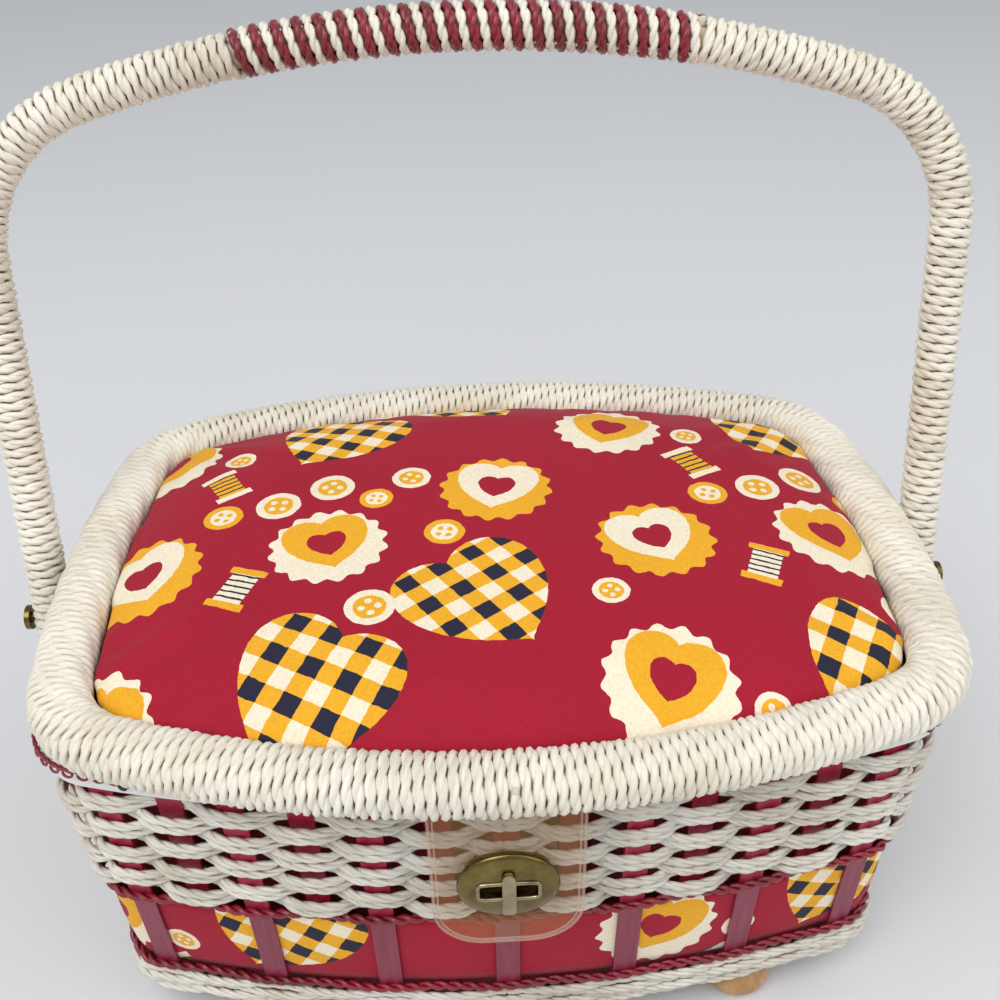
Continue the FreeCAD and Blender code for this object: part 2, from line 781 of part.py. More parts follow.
board_inset = weave_inner + cell("fit_gap")
board_top = board_bottom + cell("board_thickness")
board = wall_solid("base_board_blank", [(board_bottom, board_inset), (board_top, board_inset)])
foot_screw_hole = cell("screw_radius") + cell("bore_gap")
foot_screws = []
foot_screw_holes = []
for label, side, end in (
    ("foot_front_left", -1, -1),
    ("foot_front_right", 1, -1),
    ("foot_rear_left", -1, 1),
    ("foot_rear_right", 1, 1),
):
    x = cell("foot_x") * side
    y = body_y + cell("foot_y") * end
    low = board_bottom - cell("screw_depth")
    foot = new_body(label)
    foot_sketch = new_sketch(foot, label + "_profile", role="XZ_Plane", x=x)
    foot_sketch.setExpression("AttachmentOffset.Base.z", (-y).text)
    waist = cell("foot_waist")
    wide = cell("foot_radius")
    tall = cell("foot_height")
    hole = foot_screw_hole
    hole_low = low - cell("seam")
    bulge = Part.Arc(vector(waist, 0), vector(wide, tall / 2.0), vector(waist, tall))
    foot_sketch.addGeometry([
        line((0, 0), (waist, 0)),
        bulge,
        line((waist, tall), (hole, tall)),
        line((hole, tall), (hole, hole_low)),
        line((hole, hole_low), (0, hole_low)),
        line((0, hole_low), (0, 0)),
    ], False)
    bulge_out = wide - waist
    swell = (tall * tall / 4.0 + bulge_out * bulge_out) / (bulge_out * 2.0)
    foot_rules = [rule("Coincident", index, 2, (index + 1) % 6, 1) for index in range(6)]
    foot_rules += [rule("Horizontal", index) for index in (0, 2, 4)]
    foot_rules += [rule("Vertical", index) for index in (3, 5)]
    foot_rules += [rule("Coincident", 0, 1, -1, 1), rule("Vertical", 0, 2, 1, 2)]
    add_rules(foot_sketch, foot_rules, [
        ("waist", ("DistanceX", 0, 1, 0, 2), waist),
        ("tall", ("DistanceY", -1, 1, 2, 1), tall),
        ("hole", ("DistanceX", -1, 1, 3, 1), hole),
        ("hole_low", ("DistanceY", -1, 1, 4, 1), hole_low),
        ("swell", ("Radius", 1), swell),
    ])
    turned = foot.newObject("PartDesign::Revolution", label + "_turned")
    turned.Profile = foot_sketch
    turned.ReferenceAxis = (foot_sketch, ["V_Axis"])
    turned.Angle = 360.0
    keep(label, foot)
    head = cell("screw_head_height")
    shank_top = board_top - head
    shank = cylinder(label + "_shank", cell("screw_radius"), board_top - low, place(x, y, low))
    top = cylinder(label + "_head", cell("screw_head_radius"), head, place(x, y, shank_top))
    foot_screws.append(fuse(label + "_screw", [shank, top]))
    clear = cell("bore_gap")
    bore = cylinder(label + "_bore", foot_screw_hole, cell("board_thickness"), place(x, y, board_bottom))
    seat_radius = cell("screw_head_radius") + clear
    seat = cylinder(label + "_seat", seat_radius, head + clear, place(x, y, shank_top - clear))
    foot_screw_holes += [bore, seat]

keep("base_board", cut("base_board", board, foot_screw_holes))
keep("foot_screws", group("foot_screws", foot_screws))

lining_outer = inner_hoop_inner + cell("lining_gap")
lining_inner = lining_outer + cell("lining_thickness")
lining_bottom = board_top + cell("seam")
keep("wall_lining", wall_ring("wall_lining", lining_bottom, hoop_top, lining_outer, lining_inner))
pad_inset = lining_inner + cell("fit_gap")
pad_top = lining_bottom + cell("base_pad_thickness")
keep("base_lining", wall_solid("base_lining", [(lining_bottom, pad_inset), (pad_top, pad_inset)]))

# Lid: rolled rim on a frame, board, padded top with its cover, and lining

roll_out = -cell("roll_half_width")
roll_in = cell("roll_half_width")
wrap = cell("wrap_thickness")
frame_bottom = roll_bottom + wrap
frame_height = cell("roll_half_height") * 2.0 - wrap * 2.0
gap = cell("seam")
most_round = 0.46
frame_round = lesser(cell("frame_round"), frame_height * most_round)
frame_out = roll_out + wrap
frame_in = roll_in - wrap
frame_ring = flat_ring(
    "lid_frame_ring", lid_plan, frame_bottom, frame_height, frame_out, frame_in, frame_round
)
frame_space = flat_ring(
    "lid_frame_space", lid_plan, frame_bottom - gap, frame_height + gap * 2.0,
    frame_out - gap, frame_in + gap, frame_round + gap,
)
roll_height = cell("roll_half_height") * 2.0
roll_round = lesser(cell("roll_round"), roll_height * most_round)
wrap_ring = flat_ring("lid_wrap_ring", lid_plan, roll_bottom, roll_height, roll_out, roll_in, roll_round)
keep("lid_frame", cut("lid_frame", frame_ring, lid_screw_holes))
keep("lid_rim_wrap", cut("lid_rim_wrap", wrap_ring, [frame_space] + lid_screw_holes))

lid_inner = roll_in + cell("lining_gap")
lid_lining_top = roll_bottom + cell("lid_lining_thickness")
lid_board_bottom = lid_lining_top + cell("seam")
lid_board_top = lid_board_bottom + cell("lid_board_thickness")
cover_bottom = lid_board_top + cell("seam")
lid_lining = cell("lid_lining_thickness")
lid_board = cell("lid_board_thickness")
lid_lining_blank = flat_plate("lid_lining_blank", lid_plan, roll_bottom, lid_lining, lid_inner)
lid_board_blank = flat_plate("lid_board_blank", lid_plan, lid_board_bottom, lid_board, lid_inner)
crown_profile = ((0.0, 1.0), (0.32, 0.95), (0.62, 0.84), (0.86, 0.64), (0.97, 0.38), (1.0, 0.16))


def crown(body, name, lift, inset, cut_out=False):
    # A crowned cushion: upright sides to the pad's edge, then ovals by shares of the rise and of the plan.
    edge = rim_height + cell("pad_edge_rise")
    rise = cell("crown_height") - cell("pad_edge_rise")
    sections = [oval_sketch(body, name + "_foot", lid_plan, cover_bottom, inset)]
    for index, (share, scale) in enumerate(crown_profile):
        z = edge + rise * share + lift
        sections.append(oval_sketch(body, "%s_crown_%d" % (name, index), lid_plan, z, inset, scale))
    return add_loft(body, name + "_loft", sections, cut=cut_out)


cover = cell("cover_thickness")
pad_inset_lid = lid_inner + cover + cell("seam")
lid_pad = new_body("lid_pad")
crown(lid_pad, "lid_pad", flush, pad_inset_lid)
keep("lid_pad", lid_pad)
lid_cover = new_body("lid_cover")
crown(lid_cover, "lid_cover", cover + cell("seam"), lid_inner)
crown(lid_cover, "lid_cover_inside", cell("seam"), lid_inner + cover, cut_out=True)
keep("lid_cover", lid_cover)

# Clear tab that hangs from the lid, with its slotted brass plate

trim_front = body_y - cell("body_half_depth") - cell("trim_overhang")
tab_back = trim_front - cell("tab_standoff")
tab_front = tab_back - cell("tab_thickness")
tab_top = roll_bottom - cell("lining_gap")
tab_bottom = tab_top - cell("tab_drop")
tab_half = cell("tab_width") / 2.0
lock_z = cell("lock_height")

tab = new_body("hasp_tab_blank")
tab_sketch = new_sketch(tab, "tab_outline", role="XZ_Plane")
tab_sketch.setExpression("AttachmentOffset.Base.z", (-tab_back).text)
round_radius = lesser(cell("tab_round"), tab_half)
side_low = tab_bottom + round_radius
round_x = tab_half - round_radius
quarter = math.pi / 2
tab_sketch.addGeometry([
    line((-tab_half, tab_top), (-tab_half, side_low)),
    arc(-round_x, side_low, round_radius, 2 * quarter, 3 * quarter),
    line((-round_x, tab_bottom), (round_x, tab_bottom)),
    arc(round_x, side_low, round_radius, 3 * quarter, 4 * quarter),
    line((tab_half, side_low), (tab_half, tab_top)),
    line((tab_half, tab_top), (-tab_half, tab_top)),
], False)
tab_rules = [rule("Tangent", index, 2, index + 1, 1) for index in range(4)]
tab_rules += [rule("Coincident", 4, 2, 5, 1), rule("Coincident", 5, 2, 0, 1), rule("Equal", 1, 3)]
tab_rules += [rule("Vertical", 0), rule("Vertical", 4), rule("Horizontal", 5)]
add_rules(tab_sketch, tab_rules, [
    ("round", ("Radius", 1), round_radius),
    ("left", ("DistanceX", 0, 1, -1, 1), tab_half),
    ("right", ("DistanceX", -1, 1, 5, 1), tab_half),
    ("top", ("DistanceY", -1, 1, 5, 1), tab_top),
    ("bottom", ("DistanceY", -1, 1, 2, 1), tab_bottom),
])
tab_pad = tab.newObject("PartDesign::Pad", "tab_pad")
tab_pad.Profile = tab_sketch
bind(tab_pad, "Length", cell("tab_thickness"))

flange_spot = place(-tab_half, tab_back - gap, tab_top - cell("tab_thickness"))
flange_reach = cell("tab_flange") + gap
flange = box("tab_flange", cell("tab_width"), flange_reach, cell("tab_thickness"), flange_spot)
tab_whole = fuse("tab_whole", [tab, flange])


def oval_disc(name, half_width, half_height, thickness, y):
    # An upright oval plate whose front lies at y minus its thickness.
    item = doc.addObject("Part::Ellipse", name + "_outline")
    tall = half_height.value > half_width.value
    bind(item, "MajorRadius", half_height if tall else half_width)
    bind(item, "MinorRadius", half_width if tall else half_height)
    item.Placement = place(0, y, lock_z, *along_front)
    solid = doc.addObject("Part::Extrusion", name)
    solid.Base = item
    solid.DirMode = "Custom"
    solid.Dir = FreeCAD.Vector(0, -1, 0)
    solid.Solid = True
    bind(solid, "LengthFwd", thickness)
    return solid


def slot_block(name, length, width, depth, y):
    # A level slot with round ends, cut from y towards the front.
    half = length / 2.0 - width / 2.0
    body = box(name + "_middle", half * 2.0, depth, width, place(-half, y - depth, lock_z - width / 2.0))
    ends = []
    for side in (-1, 1):
        spot = place(half * side, y, lock_z, *along_front)
        ends.append(cylinder("%s_end_%d" % (name, side), width / 2.0, depth, spot))
    return fuse(name, [body] + ends)


hasp_back = tab_back + cell("hasp_back_thickness")
dome_front = tab_front - cell("hasp_flange") - cell("hasp_dome")
slot_depth = hasp_back - dome_front
slot_start = hasp_back + gap
slot = slot_block("hasp_slot", cell("slot_length"), cell("slot_width"), slot_depth + gap * 2.0, slot_start)
hasp_width = cell("hasp_half_width")
hasp_height = cell("hasp_half_height")
dome_width = hasp_width - cell("hasp_rim")
dome_height = hasp_height - cell("hasp_rim")
dome_y = tab_front - cell("hasp_flange") + gap
plate_disc = oval_disc("hasp_disc", hasp_width, hasp_height, cell("hasp_flange"), tab_front)
dome_disc = oval_disc("hasp_dome_disc", dome_width, dome_height, cell("hasp_dome") + gap, dome_y)
keep("hasp_plate", cut("hasp_plate", fuse("hasp_whole", [plate_disc, dome_disc]), [slot]))
ring_disc = oval_disc("hasp_ring_disc", dome_width, dome_height, cell("hasp_back_thickness"), hasp_back)
keep("hasp_back_ring", cut("hasp_back_ring", ring_disc, [slot]))

tab_rivets = []
tab_rivet_holes = []
tab_rivet_y = tab_back + cell("tab_flange") - cell("tab_rivet_edge")
tab_rivet_low = tab_top - cell("tab_thickness") - cell("tab_rivet_head_height")
tab_rivet_length = lid_board_top - tab_rivet_low
for side in (-1, 1):
    x = cell("tab_rivet_spacing") * (side / 2)
    spot = place(x, tab_rivet_y, tab_rivet_low)
    shank = cylinder("tab_rivet_shank_%d" % side, cell("tab_rivet_radius"), tab_rivet_length, spot)
    head_radius = cell("tab_rivet_head_radius")
    head = cylinder("tab_rivet_head_%d" % side, head_radius, cell("tab_rivet_head_height"), spot)
    tab_rivets.append(fuse("tab_rivet_%d" % side, [shank, head]))
    hole_radius = cell("tab_rivet_radius") + cell("bore_gap")
    tab_rivet_holes.append(cylinder("tab_rivet_hole_%d" % side, hole_radius, tab_rivet_length, spot))
keep("tab_rivets", group("tab_rivets", tab_rivets))
keep("hasp_tab", cut("hasp_tab", tab_whole, [slot] + tab_rivet_holes))
keep("lid_board", cut("lid_board", lid_board_blank, tab_rivet_holes))
keep("lid_lining", cut("lid_lining", lid_lining_blank, tab_rivet_holes))

# Turn lock: a riveted plate with a boss, and the toggle on its post


def wall_plate(name, step, z, width, height, start, thickness):
    # A flat plate square to the wall, from a distance outside the weave.
    spot = wall_frame(step, z).multiply(place(start, -width / 2.0, -height / 2.0))
    return box(name, thickness, width, height, spot)


backing_levels = [(upper_weave_bottom, plate_inner), (upper_weave_top, plate_inner)]
backing_space = wall_solid("backing_space", backing_levels)


def backing_plate(name, step, z, width, holes):
    # The plate behind the weave that takes the rivets, hollowed to the wall.
    thickness = cell("plate_thickness") + cell("seam")
    start = -(plate_inner + cell("plate_thickness"))
    blank = wall_plate(name + "_blank", step, z, width, cell("backing_height"), start, thickness)
    keep(name, cut(name, common(name + "_whole", blank, backing_space), holes))


front_wall = outward(front_step, lock_z).Base.y
boss_front = hasp_back + cell("fit_gap")
plate = cell("plate_thickness")
plate_middle = cell("seam") + plate / 2.0
boss_root = front_wall - plate_middle.value
boss_length = boss_root - boss_front.value
boss_spot = place(0, boss_root, lock_z, *along_front)
lock_width = cell("lock_plate_width")
lock_height = cell("lock_plate_height")
lock_plate = wall_plate("lock_plate", front_step, lock_z, lock_width, lock_height, cell("seam"), plate)
boss = cylinder("lock_boss", cell("lock_boss_radius"), boss_length, boss_spot)
post_hole_radius = cell("toggle_post_radius") + cell("bore_gap")
post_hole = cylinder("lock_post_hole", post_hole_radius, boss_length, boss_spot)
lock_rivet_holes = wall_rivets("lock_plate_hole", front_step, lock_z, rivet_hole, heads=False)
lock_whole = fuse("lock_whole", [lock_plate, boss])
keep("lock_base", cut("lock_base", lock_whole, [post_hole] + lock_rivet_holes))
backing_plate("lock_backing", front_step, lock_z, lock_width, lock_rivet_holes)
rivet_radius = cell("plate_rivet_radius")
lock_rivets = wall_rivets("lock_rivet", front_step, lock_z, rivet_radius, heads=True)
keep("lock_rivets", group("lock_rivets", lock_rivets))

bar_back = dome_front - cell("toggle_gap")
bar_front = bar_back - cell("toggle_thickness")
post_back = front_wall - cell("plate_thickness").value
post_length = Size(post_back, repr(post_back)) - bar_front - cell("toggle_thickness") / 2.0
post_spot = place(0, post_back, lock_z, *along_front)
post = cylinder("toggle_post", cell("toggle_post_radius"), post_length, post_spot)
toggle_half = cell("toggle_length") / 2.0 - cell("toggle_width") / 2.0
bar_x = -cell("toggle_width") / 2.0
bar_spot = place(bar_x, bar_front, lock_z - toggle_half)
bar = box("toggle_bar", cell("toggle_width"), cell("toggle_thickness"), toggle_half * 2.0, bar_spot)
bar_ends = []
for side in (-1, 1):
    spot = place(0, bar_back, lock_z + toggle_half * side, *along_front)
    end_radius = cell("toggle_width") / 2.0
    bar_ends.append(cylinder("toggle_end_%d" % side, end_radius, cell("toggle_thickness"), spot))
keep("lock_toggle", fuse("lock_toggle", [post, bar] + bar_ends))

# Handle pivots on the sides of the basket

span = cell("handle_half_span")
ferrule = cell("ferrule_radius")
pivot_y = body_y
washer_outer = span - ferrule - cell("side_play")
washer_inner = washer_outer - cell("washer_thickness")
boss_end = washer_inner - cell("side_play")
pivot_bore = cell("pivot_radius") + cell("bore_gap")
side_wall = outward(right_step, pivot_height).Base.x
bracket_root = side_wall + plate_middle.value
bracket_boss_length = boss_end - bracket_root
bracket_rivets = []

for label, side, step in (("left", -1, left_step), ("right", 1, right_step)):
    turn = ((0, 1, 0), 90 * side)
    width = cell("bracket_width")
    height = cell("bracket_height")
    bracket = wall_plate("bracket_plate_" + label, step, pivot_height, width, height, cell("seam"), plate)
    spot = place(bracket_root * side, pivot_y, pivot_height, *turn)
    boss = cylinder("bracket_boss_" + label, cell("bracket_boss_radius"), bracket_boss_length, spot)
    bore = cylinder("bracket_bore_" + label, pivot_bore, bracket_boss_length, spot)
    holes = wall_rivets("bracket_hole_" + label, step, pivot_height, rivet_hole, heads=False)
    whole = fuse("bracket_whole_" + label, [bracket, boss])
    keep("handle_bracket_" + label, cut("handle_bracket_" + label, whole, [bore] + holes))
    backing_plate("bracket_backing_" + label, step, pivot_height, width, holes)
    bracket_rivets += wall_rivets("bracket_rivet_" + label, step, pivot_height, rivet_radius, heads=True)

    pin_start = Size(side_wall, repr(side_wall)) + cell("plate_thickness")
    pin_end = span + ferrule + cell("side_play")
    pin_spot = place(pin_start * side, pivot_y, pivot_height, *turn)
    head_height = cell("pivot_head_height")
    pin = cylinder("pivot_pin_" + label, cell("pivot_radius"), pin_end - pin_start + head_height, pin_spot)
    head_spot = place(pin_end * side, pivot_y, pivot_height, *turn)
    head = cylinder("pivot_head_" + label, cell("pivot_head_radius"), head_height, head_spot)
    keep("pivot_rivet_" + label, fuse("pivot_rivet_" + label, [pin, head]))
    washer_spot = place(washer_inner * side, pivot_y, pivot_height, *turn)
    disc = cylinder("washer_disc_" + label, cell("washer_radius"), cell("washer_thickness"), washer_spot)
    hole = cylinder("washer_hole_" + label, pivot_bore, cell("washer_thickness"), washer_spot)
    keep("pivot_washer_" + label, cut("pivot_washer_" + label, disc, [hole]))

keep("bracket_rivets", group("bracket_rivets", bracket_rivets))

# Handle: a bail of straight legs, round corners and a gently bowed top, leaning back on its pivots

rise = cell("handle_rise")
bow = cell("handle_top_bow")
corner = cell("handle_corner")
lean = cell("handle_lean")
standing = FreeCAD.Placement(
    vector(0, pivot_y, pivot_height), FreeCAD.Rotation(FreeCAD.Vector(1, 0, 0), -lean.value)
)
top_centre = rise - bow
corner_x = span - corner
reach_to_corner = math.sqrt((bow - corner).value ** 2 - corner_x.value ** 2)
corner_z = top_centre.value + reach_to_corner
meet_angle = math.atan2(reach_to_corner, corner_x.value)
grip_angle = math.acos(cell("grip_half_length").value / bow.value)
angle_match = 1e-6


def handle_path(body, name, start, sides, low, high):
    # The bail's middle line in its own plane: a leg and a corner for each side, and a stretch of the top arc.
    sketch = new_sketch(body, name, role="XZ_Plane")
    rules = []
    dimensions = []
    for hand in sides:
        leg = sketch.GeometryCount
        knee_angle, meet = (0.0, meet_angle) if hand > 0 else (math.pi, math.pi - meet_angle)
        sketch.addGeometry(line((span * hand, start), (span * hand, corner_z)), False)
        bend = arc(corner_x * hand, corner_z, corner, min(knee_angle, meet), max(knee_angle, meet))
        sketch.addGeometry(bend, False)
        rules += [rule("Tangent", leg, 2, leg + 1, 1 if hand > 0 else 2), rule("Vertical", leg)]
        tag = "_right" if hand > 0 else "_left"
        outward_ends = (-1, 1, leg, 1) if hand > 0 else (leg, 1, -1, 1)
        dimensions.append(("span" + tag, ("DistanceX",) + outward_ends, span))
        dimensions.append(("start" + tag, ("DistanceY", -1, 1, leg, 1), start))
        dimensions.append(("corner" + tag, ("Radius", leg + 1), corner))
    top = sketch.GeometryCount
    sketch.addGeometry(arc(0, top_centre, bow, low, high), False)
    for index, hand in enumerate(sides):
        bend_end, top_end = (2, 1) if hand > 0 else (1, 2)
        rules.append(rule("Tangent", index * 2 + 1, bend_end, top, top_end))
    rules.append(rule("PointOnObject", top, 3, -2))
    dimensions.append(("bow", ("Radius", top), bow))
    dimensions.append(("centre", ("DistanceY", top, 3, -1, 1), -top_centre))
    grip = cell("grip_half_length")
    if abs(low - grip_angle) < angle_match:
        dimensions.append(("grip_right", ("DistanceX", -1, 1, top, 1), grip))
    elif abs(high - grip_angle) < angle_match:
        dimensions.append(("grip_right", ("DistanceX", -1, 1, top, 2), grip))
    if abs(high - (math.pi - grip_angle)) < angle_match:
        dimensions.append(("grip_left", ("DistanceX", top, 2, -1, 1), grip))
    elif abs(low - (math.pi - grip_angle)) < angle_match:
        dimensions.append(("grip_left", ("DistanceX", top, 1, -1, 1), grip))
    add_rules(sketch, rules, dimensions)
    return sketch


def round_section(body, name, x, z, radius, tilt):
    # A circle square to the start of a path.
    sketch = new_sketch(body, name)
    sketch.addGeometry(Part.Circle(vector(), FreeCAD.Vector(0, 0, 1), radius.value), False)
    add_rules(sketch, [rule("Coincident", 0, 3, -1, 1)], [("radius", ("Radius", 0), radius)])
    sketch.AttachmentOffset = place(x, 0, z, (0, 1, 0), tilt)
    return sketch


def pipe(body, name, section, path, cut_out=False):
    kind = "PartDesign::SubtractivePipe" if cut_out else "PartDesign::AdditivePipe"
    item = body.newObject(kind, name)
    item.Profile = section
    item.Spine = path


def tube(name, outer, inner, start, sides, low, high):
    # A round bar along a stretch of the bail, bored if it has an inner radius.
    body = new_body(name)
    path = handle_path(body, name + "_path", start, sides, low, high)
    x, z, tilt = cell("grip_half_length"), top_centre + bow * math.sin(grip_angle), -math.degrees(grip_angle)
    if sides:
        x, z, tilt = span * sides[0], start, 0.0
    pipe(body, name + "_pipe", round_section(body, name + "_section", x, z, outer, tilt), path)
    if inner is not None:
        section = round_section(body, name + "_bore", x, z, inner, tilt)
        pipe(body, name + "_hollow", section, path, cut_out=True)
    body.Placement = standing
    return body


wrap_start = cell("ferrule_above") + cell("seam")
core_start = cell("ferrule_floor") + cell("seam")
core_radius = cell("handle_core_radius")
core_space = core_radius + cell("bore_gap")
far_meet = math.pi - meet_angle
far_grip = math.pi - grip_angle
wrap_radius = cell("handle_wrap_radius")
grip_radius = cell("grip_wrap_radius")
for label, outer, inner, start, sides, low, high in (
    ("handle_core", core_radius, None, core_start, (1, -1), meet_angle, far_meet),
    ("handle_wrap_left", wrap_radius, core_space, wrap_start, (-1,), far_grip, far_meet),
    ("handle_wrap_right", wrap_radius, core_space, wrap_start, (1,), meet_angle, grip_angle),
    ("grip_wrap", grip_radius, core_space, wrap_start, (), grip_angle, far_grip),
):
    keep(label, tube(label, outer, inner, start, sides, low, high))

for label, side in (("left", -1), ("right", 1)):
    below = cell("ferrule_below")
    floor = cell("ferrule_floor")
    spot = standing.multiply(place(span * side, 0, -below))
    sleeve = cylinder("ferrule_sleeve_" + label, ferrule, below + cell("ferrule_above"), spot)
    bore_spot = standing.multiply(place(span * side, 0, floor))
    bore = cylinder("ferrule_bore_" + label, core_space, cell("ferrule_above") - floor, bore_spot)
    cross_spot = standing.multiply(place((span - ferrule) * side, 0, 0, (0, 1, 0), 90 * side))
    cross = cylinder("ferrule_cross_" + label, pivot_bore, ferrule * 2.0, cross_spot)
    keep("handle_end_" + label, cut("handle_end_" + label, sleeve, [bore, cross]))

# Windings of the grip: a red and a white cord side by side, each one unbroken chain of tangent arcs

wire = cell("winding_radius").value
coil = grip_radius.value + cell("winding_gap").value + wire
tail = 2 * wire
sweep_low = grip_angle + tail / bow.value
sweep_high = math.pi - sweep_low
quarters = winding_turns * 4
samples_per_quarter = 8


def winding_point(share, phase):
    # Point of a winding at a share of its length. The phase is a share of one turn.
    angle = sweep_low + (sweep_high - sweep_low) * share
    turn = 2 * math.pi * (winding_turns * share + phase)
    out = bow.value + coil * math.cos(turn)
    return vector(out * math.cos(angle), coil * math.sin(turn), top_centre + out * math.sin(angle))


def winding_station(share, phase):
    # Point and unit tangent of a winding.
    spread = 1e-5
    tangent = winding_point(share + spread, phase) - winding_point(share - spread, phase)
    tangent.normalize()
    return winding_point(share, phase), tangent


def tangent_arc(start, tangent, end):
    # Arc that leaves the start along the tangent and reaches the end.
    chord = end - start
    across = chord - tangent * chord.dot(tangent)
    half_turn = math.atan2(across.Length, chord.dot(tangent))
    across.normalize()
    radius = chord.Length / (2 * math.sin(half_turn))
    ahead = tangent * (radius * math.sin(half_turn))
    return Part.Arc(start, start + ahead + across * (radius * (1 - math.cos(half_turn))), end)


def biarc(start, start_tangent, end, end_tangent):
    # Two tangent arcs between two points with given directions.
    between = end - start
    a = 2 * (1 - start_tangent.dot(end_tangent))
    b = 2 * between.dot(start_tangent + end_tangent)
    c = -between.dot(between)
    reach = (-b + math.sqrt(b * b - 4 * a * c)) / (2 * a)
    near = start + start_tangent * reach
    far = end - end_tangent * reach
    joint = (near + far) * 0.5
    joint_tangent = far - near
    joint_tangent.normalize()
    return [tangent_arc(start, start_tangent, joint), tangent_arc(joint, joint_tangent, end)]


def winding(label, phase):
    stations = [winding_station(index / quarters, phase) for index in range(quarters + 1)]
    first_point, first_tangent = stations[0]
    last_point, last_tangent = stations[-1]
    tip = first_point - first_tangent * tail
    curves = [Part.LineSegment(tip, first_point)]
    for (start, start_tangent), (end, end_tangent) in zip(stations, stations[1:]):
        curves += biarc(start, start_tangent, end, end_tangent)
    curves.append(Part.LineSegment(last_point, last_point + last_tangent * tail))
    path = Part.Wire([curve.toShape() for curve in curves])
    section = Part.Wire([Part.Circle(tip, first_tangent, wire).toShape()])
    item = doc.addObject("Part::Feature", label)
    item.Shape = path.makePipeShell([section], True, False)
    print("%s: length %.1f, volume %.1f" % (label, path.Length, item.Shape.Volume))
    print("section times length %.1f" % (math.pi * wire ** 2 * path.Length))
    steps = quarters * samples_per_quarter
    points = [winding_point(index / steps, phase) for index in range(steps + 1)]
    near_turn = 3 * samples_per_quarter
    gaps = [
        (point - other).Length - 2 * wire
        for index, point in enumerate(points)
        for other in points[index + near_turn:index + 2 * near_turn]
    ]
    print("least gap between turns %.2f" % min(gaps))
    item.Placement = standing
    return item


keep("grip_winding_red", winding("grip_winding_red", 0.0))
keep("grip_winding_white", winding("grip_winding_white", 0.5))

# Every object has to be sound before anything is written

doc.recompute()
faults = [item.Label for item in doc.Objects if "Invalid" in item.State or "Error" in item.State]
faults += [label for label, item in pieces.items() if item.Shape.isNull() or not item.Shape.isValid()]
if faults:
    raise RuntimeError("faulty objects: " + ", ".join(faults))
os.makedirs("parts", exist_ok=True)
for label, item in pieces.items():
    item.Shape.exportStep(os.path.join("parts", label + ".step"))
    print("%-24s solids %3d volume %10.1f" % (label, len(item.Shape.Solids), item.Shape.Volume))
print("pieces", len(pieces), "stake pitch %.2f" % stake_pitch, "rim height %.1f" % rim_height.value)
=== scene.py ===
import json
import math
import random

import bmesh
import bpy
import numpy as np
from mathutils import Matrix, Vector

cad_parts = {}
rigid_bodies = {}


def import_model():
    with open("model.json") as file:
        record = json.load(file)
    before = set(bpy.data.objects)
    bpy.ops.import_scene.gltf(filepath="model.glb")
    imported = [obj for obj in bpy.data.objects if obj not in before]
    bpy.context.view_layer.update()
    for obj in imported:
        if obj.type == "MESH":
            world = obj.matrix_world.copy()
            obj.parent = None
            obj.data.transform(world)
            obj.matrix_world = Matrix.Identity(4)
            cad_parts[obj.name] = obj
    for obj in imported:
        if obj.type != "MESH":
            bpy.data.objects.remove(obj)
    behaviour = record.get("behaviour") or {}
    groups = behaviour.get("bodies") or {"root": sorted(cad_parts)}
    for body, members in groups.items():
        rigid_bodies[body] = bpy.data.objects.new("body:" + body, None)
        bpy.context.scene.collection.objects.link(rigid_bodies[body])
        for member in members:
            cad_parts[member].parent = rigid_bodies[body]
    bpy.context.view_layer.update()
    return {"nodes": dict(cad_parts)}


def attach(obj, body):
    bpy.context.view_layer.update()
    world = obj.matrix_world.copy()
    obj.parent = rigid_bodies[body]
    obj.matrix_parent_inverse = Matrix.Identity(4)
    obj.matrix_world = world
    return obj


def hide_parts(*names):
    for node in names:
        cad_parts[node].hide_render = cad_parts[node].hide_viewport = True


for leftover in list(bpy.data.objects):
    bpy.data.objects.remove(leftover)
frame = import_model()
scene = bpy.context.scene
mm = 0.001
fullTurn = 2*math.pi
dice = random.Random(7)
print("basket: frame loaded")

# plan of the wall at the rim, and of the middle line of the lid's rolled rim, in millimetres
wallPlan = {
    "halfWidth": 146.4,
    "halfDepth": 107.9,
    "corner": 24.0,
    "frontBow": 464.0,
    "sideBow": 732.0,
    "middle": (0.0, 4.05),
}
lidPlan = {
    "halfWidth": 139.8,
    "halfDepth": 106.4,
    "corner": 31.0,
    "frontBow": 327.0,
    "sideBow": 416.0,
    "middle": (2.0, -1.95),
}
wallShape = {"rimTop": 139.1, "taper": 0.06, "stakes": 44}


